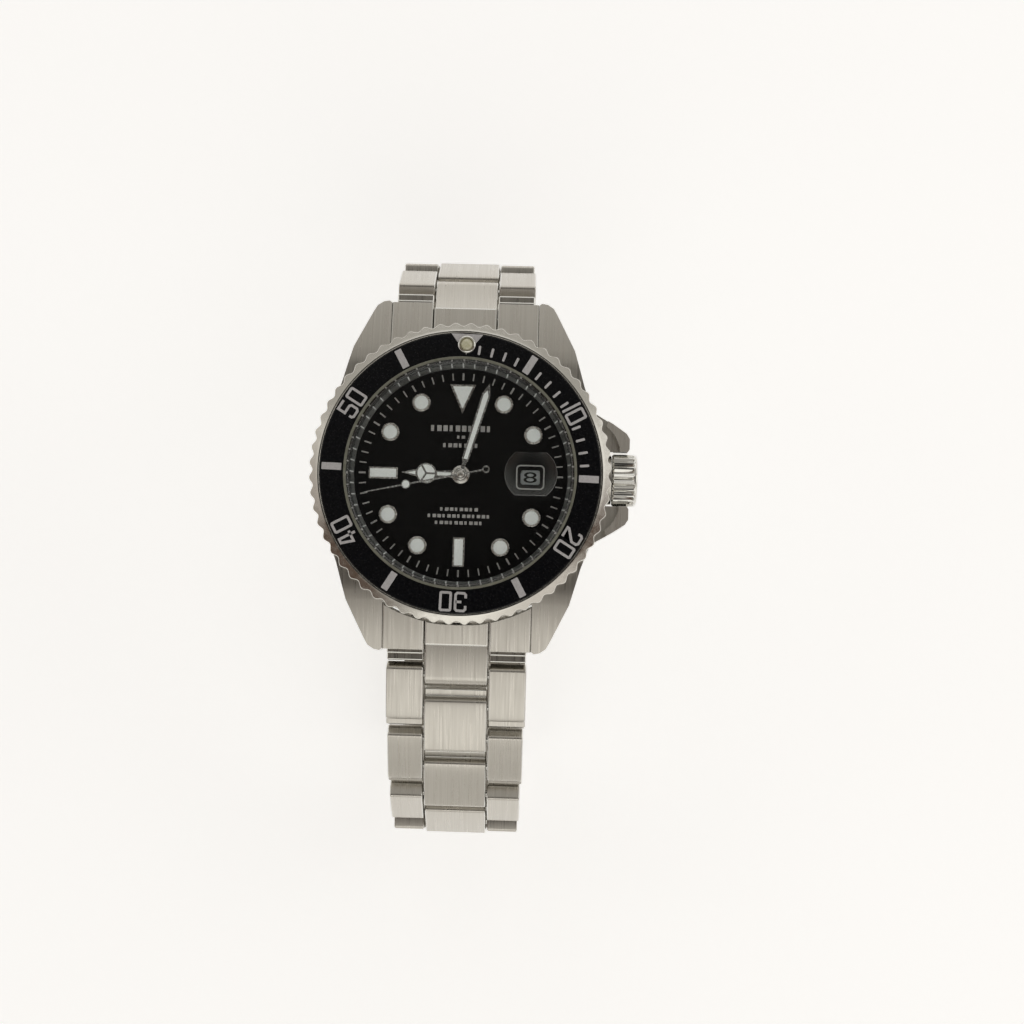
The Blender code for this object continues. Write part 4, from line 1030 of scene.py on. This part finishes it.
# ---- Bracelet: solid steel links, three to a row and half a pitch apart, turning on
# pins. Their faces are satin along the strap and their edges are softened by tumbling.
PITCH, FIRST_LINK, HALF = 9.2, 5.4, 1.6
RECESS = 1.45
CENTRE_W, STRAP_W, CLASP_END_W = 8.5, 19.4, 16.4
ROWS = 6
PIN_R = 0.62
GAP = 0.3

to_cross = Matrix(((0, 0, 1, 0), (1, 0, 0, 0), (0, 1, 0, 0), (0, 0, 0, 1)))


def link_side(reach):
    """A link seen from the side: its pin is at 0 and its low tongue fills the next gap."""
    far = reach - HALF - RECESS
    tip = reach - HALF - GAP
    points = arc_of(0.45, 90, 175, 5, (0.45 - 1.5, HALF - 0.45)) + arc_of(HALF, 170, 270, 10)
    points += [(far - 0.6, -HALF), (far, -HALF * 0.5), (tip, -HALF * 0.5)]
    points += [(tip, HALF * 0.3), (far, HALF * 0.3)]
    points += arc_of(0.45, 5, 90, 5, (far - 0.45, HALF - 0.45))
    points += [(far * k / 8, HALF + 0.12 * math.sin(math.pi * k / 8)) for k in (7, 6, 5, 4, 3, 2, 1)]
    return points


def link_place(pivot, ahead, side):
    """The place of a link from its own pivot towards the next one."""
    run = Vector(ahead) - Vector(pivot)
    fall = math.atan2(-run.z, side * run.y)
    turn = Matrix.Rotation(0 if side > 0 else math.pi, 4, "Z") @ Matrix.Rotation(-fall, 4, "X")
    return Matrix.Translation(pivot) @ turn


tumbled = {"edge": 0.2, "segments": 3, "smooth": 40, "edge_look": 1}
clasp_bar = Vector(joints["clasp_open"]["pos_m"])
for side, clock_name in ((1, "12"), (-1, "6")):
    pivots = [joints[f"lug_{clock_name}"]["pos_m"]]
    pivots += [joints[f"row_{clock_name}_{k}_bend"]["pos_m"] for k in range(1, ROWS + 1)]
    if side > 0:
        pivots.append(clasp_bar)
    else:
        drop = clasp_bar.z - pivots[-1][2]
        run = ((PITCH * MM) ** 2 - drop**2) ** 0.5
        pivots.append((0, pivots[-1][1] + run, clasp_bar.z))
    work = bmesh.new()
    shape = arc_of(HALF, 90, 270, 14) + arc_of(HALF, -90, 90, 14, (FIRST_LINK, 0))
    placed(work, to_cross, plate, shape, -CENTRE_W / 2, CENTRE_W / 2)
    sized(work, link_place(pivots[0], pivots[1], side))
    name = f"first_link_{clock_name}"
    finished(
        work, name + "_satin", f"first_{clock_name}", name, "steel_satin", *link_looks,
        edge=0.18, segments=3, smooth=40, edge_look=1,
    )
    for k in range(1, ROWS + 1):
        row = f"row_{clock_name}_{k}"
        place = link_place(pivots[k], pivots[k + 1], side)
        width = STRAP_W - (STRAP_W - CLASP_END_W) * k / ROWS
        inner_x = CENTRE_W / 2 + GAP / 2
        work = bmesh.new()
        placed(work, to_cross, plate, link_side(PITCH), inner_x, width / 2)
        placed(work, to_cross, plate, link_side(PITCH), -width / 2, -inner_x)
        sized(work, place)
        finished(work, row + "_outer_links", row, row, "steel_satin", *link_looks, **tumbled)
        work = bmesh.new()
        turned_about = [(PITCH - a, b) for a, b in link_side(PITCH)]
        placed(work, to_cross, plate, turned_about, -CENTRE_W / 2, CENTRE_W / 2)
        sized(work, place)
        finished(work, row + "_centre_link", row, "", "steel_satin", *link_looks, **tumbled)
        work = bmesh.new()
        reach = width / 2 + 0.04
        end = [(0, reach), (0.35, reach - 0.02), (PIN_R, reach - 0.12)]
        pin = end + [(r, -z) for r, z in reversed(end)]
        for along in (0, PITCH / 2):
            placed(work, Matrix.Translation((0, along, 0)) @ toward_x, turned, pin, 24)
        sized(work, place)
        finished(work, row + "_pins", row, "", "steel_polished", polished_steel, smooth=50)

# ---- Clasp: a folding buckle of pressed steel. The cover is a sheet folded up on both
# sides, and two blades fold flat inside it.
SHEET = 0.8
COVER_OPEN = 2.0
cover_low, cover_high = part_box("clasp_cover")
bar_y, bar_z = clasp_bar.y / MM, clasp_bar.z / MM
cover_end = cover_low[1] / MM
half_w = cover_high[0] / MM
span_end = bar_y - cover_end
wall = [(-2.2, 1.9), (span_end - 2, 1.9), (span_end, 0), (span_end, -bar_z), (-1.0, -bar_z), (-2.2, -1.4)]
work = bmesh.new()
across_clasp = Matrix(((0, 0, 1, 0), (-1, 0, 0, bar_y), (0, 1, 0, bar_z), (0, 0, 0, 1)))
placed(work, across_clasp, plate, wall, -half_w, half_w)
bmesh.ops.recalc_face_normals(work, faces=work.faces)
cut_across(work, (0, bar_y - COVER_OPEN, 0), (0, 1, 0))
opened = []
for face in work.faces:
    if abs(face.normal.x) > 0.5:
        continue
    centre = face.calc_center_median()
    if not (face.normal.z < -0.9 and centre.y < bar_y - COVER_OPEN):
        opened.append(face)
bmesh.ops.delete(work, geom=opened, context="FACES")
folds = []
for bend in work.edges:
    walls = bend.link_faces
    if len(walls) == 2 and abs(walls[0].normal.dot(walls[1].normal)) < 0.3:
        folds.append(bend)
bmesh.ops.bevel(work, geom=folds, offset=1.3, segments=6, profile=0.5, affect="EDGES", material=-1)
bmesh.ops.recalc_face_normals(work, faces=work.faces)
bottom_face = min(work.faces, key=lambda f: f.calc_center_median().z)
if bottom_face.normal.z > 0:
    bmesh.ops.reverse_faces(work, faces=work.faces)
bmesh.ops.solidify(work, geom=work.faces[:], thickness=SHEET)
bmesh.ops.recalc_face_normals(work, faces=work.faces)
sized(work)
finished(
    work, "clasp_cover_satin", "clasp", "clasp_cover", "steel_satin", satin_steel,
    edge=0.14, segments=3, smooth=40,
)

for name in ("clasp_outer_blade", "clasp_inner_blade"):
    relook(name, satin_steel)

for sign, name in ((1, "right"), (-1, "left")):
    low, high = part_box("clasp_button_" + name)
    centre = (Vector(low) + Vector(high)) / 2
    long = (high[0] - low[0]) / MM
    work = bmesh.new()
    top = long / 2
    domed = [(0, top), (0.9, top - 0.04), (1.4, top - 0.22), (1.6, top - 0.5), (1.6, -top), (0, -top)]
    turned(work, domed, 48)
    sized(work, Matrix.Translation(centre) @ Matrix.Rotation(sign * math.pi / 2, 4, "Y"))
    node = "clasp_button_" + name
    finished(work, node + "_domed", "button_" + name, node, "steel_polished", polished_steel, smooth=35)

# ---- Pins, spring bars and the quartz movement keep their engineering shapes. Brass is
# satin, the board is green, the battery is steel and the holder is moulded nylon.
brass = new_material("machined_brass", (0.75, 0.58, 0.30), 0.3, 1.0)
between(brass, grain(brass, (4.0, 0.4, 4.0), 4.0), "Roughness", 0.22, 0.4)
tinted(brass, grain(brass, (1.0, 1.0, 1.0), 4.0), (0.68, 0.52, 0.26), (0.8, 0.63, 0.34))
nylon = new_material("moulded_nylon", (0.8, 0.8, 0.77), 0.5)
relief(nylon, grain(nylon, (10.0, 10.0, 10.0), 3.0), 0.01)
rubber = new_material("seal_rubber_black", (0.02, 0.02, 0.02), 0.75)
relief(rubber, grain(rubber, (12.0, 12.0, 12.0), 3.0), 0.01)
board_green = new_material("board_green", (0.03, 0.16, 0.08), 0.4)
board_tone = grain(board_green, (2.0, 2.0, 2.0), 2.0)
tinted(board_green, board_tone, (0.02, 0.12, 0.06), (0.05, 0.24, 0.12), 0.48, 0.52)
copper = new_material("wound_copper", (0.72, 0.34, 0.18), 0.35, 1.0)
relief(copper, grain(copper, (9.0, 0.3, 0.3), 1.0), 0.03)
looks = {
    "steel_satin": satin_steel, "steel_polished": polished_steel, "brass": brass, "nylon_white": nylon,
    "seal_rubber": rubber, "circuit_board": board_green, "copper_wire": copper,
}
wanted = {
    "steel_polished": (
        "bezel_click_spring", "stator", "battery", "rotor", "lug_bar_12", "lug_bar_6", "stem",
        "setting_lever", "clasp_spring_bar", "clasp_hinge_pin", "clasp_fold_pin",
    ),
    "brass": (
        "main_plate", "train_bridge", "clutch_wheel", "seconds_wheel", "third_wheel", "centre_wheel",
        "minute_wheel", "hour_wheel",
    ),
    "steel_satin": ("crown_tube",),
    "nylon_white": ("movement_holder",),
    "seal_rubber": ("case_back_gasket",),
    "circuit_board": ("circuit_board",),
    "copper_wire": ("coil",),
}
for look, names in wanted.items():
    for name in names:
        relook(name, looks[look])

low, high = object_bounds()
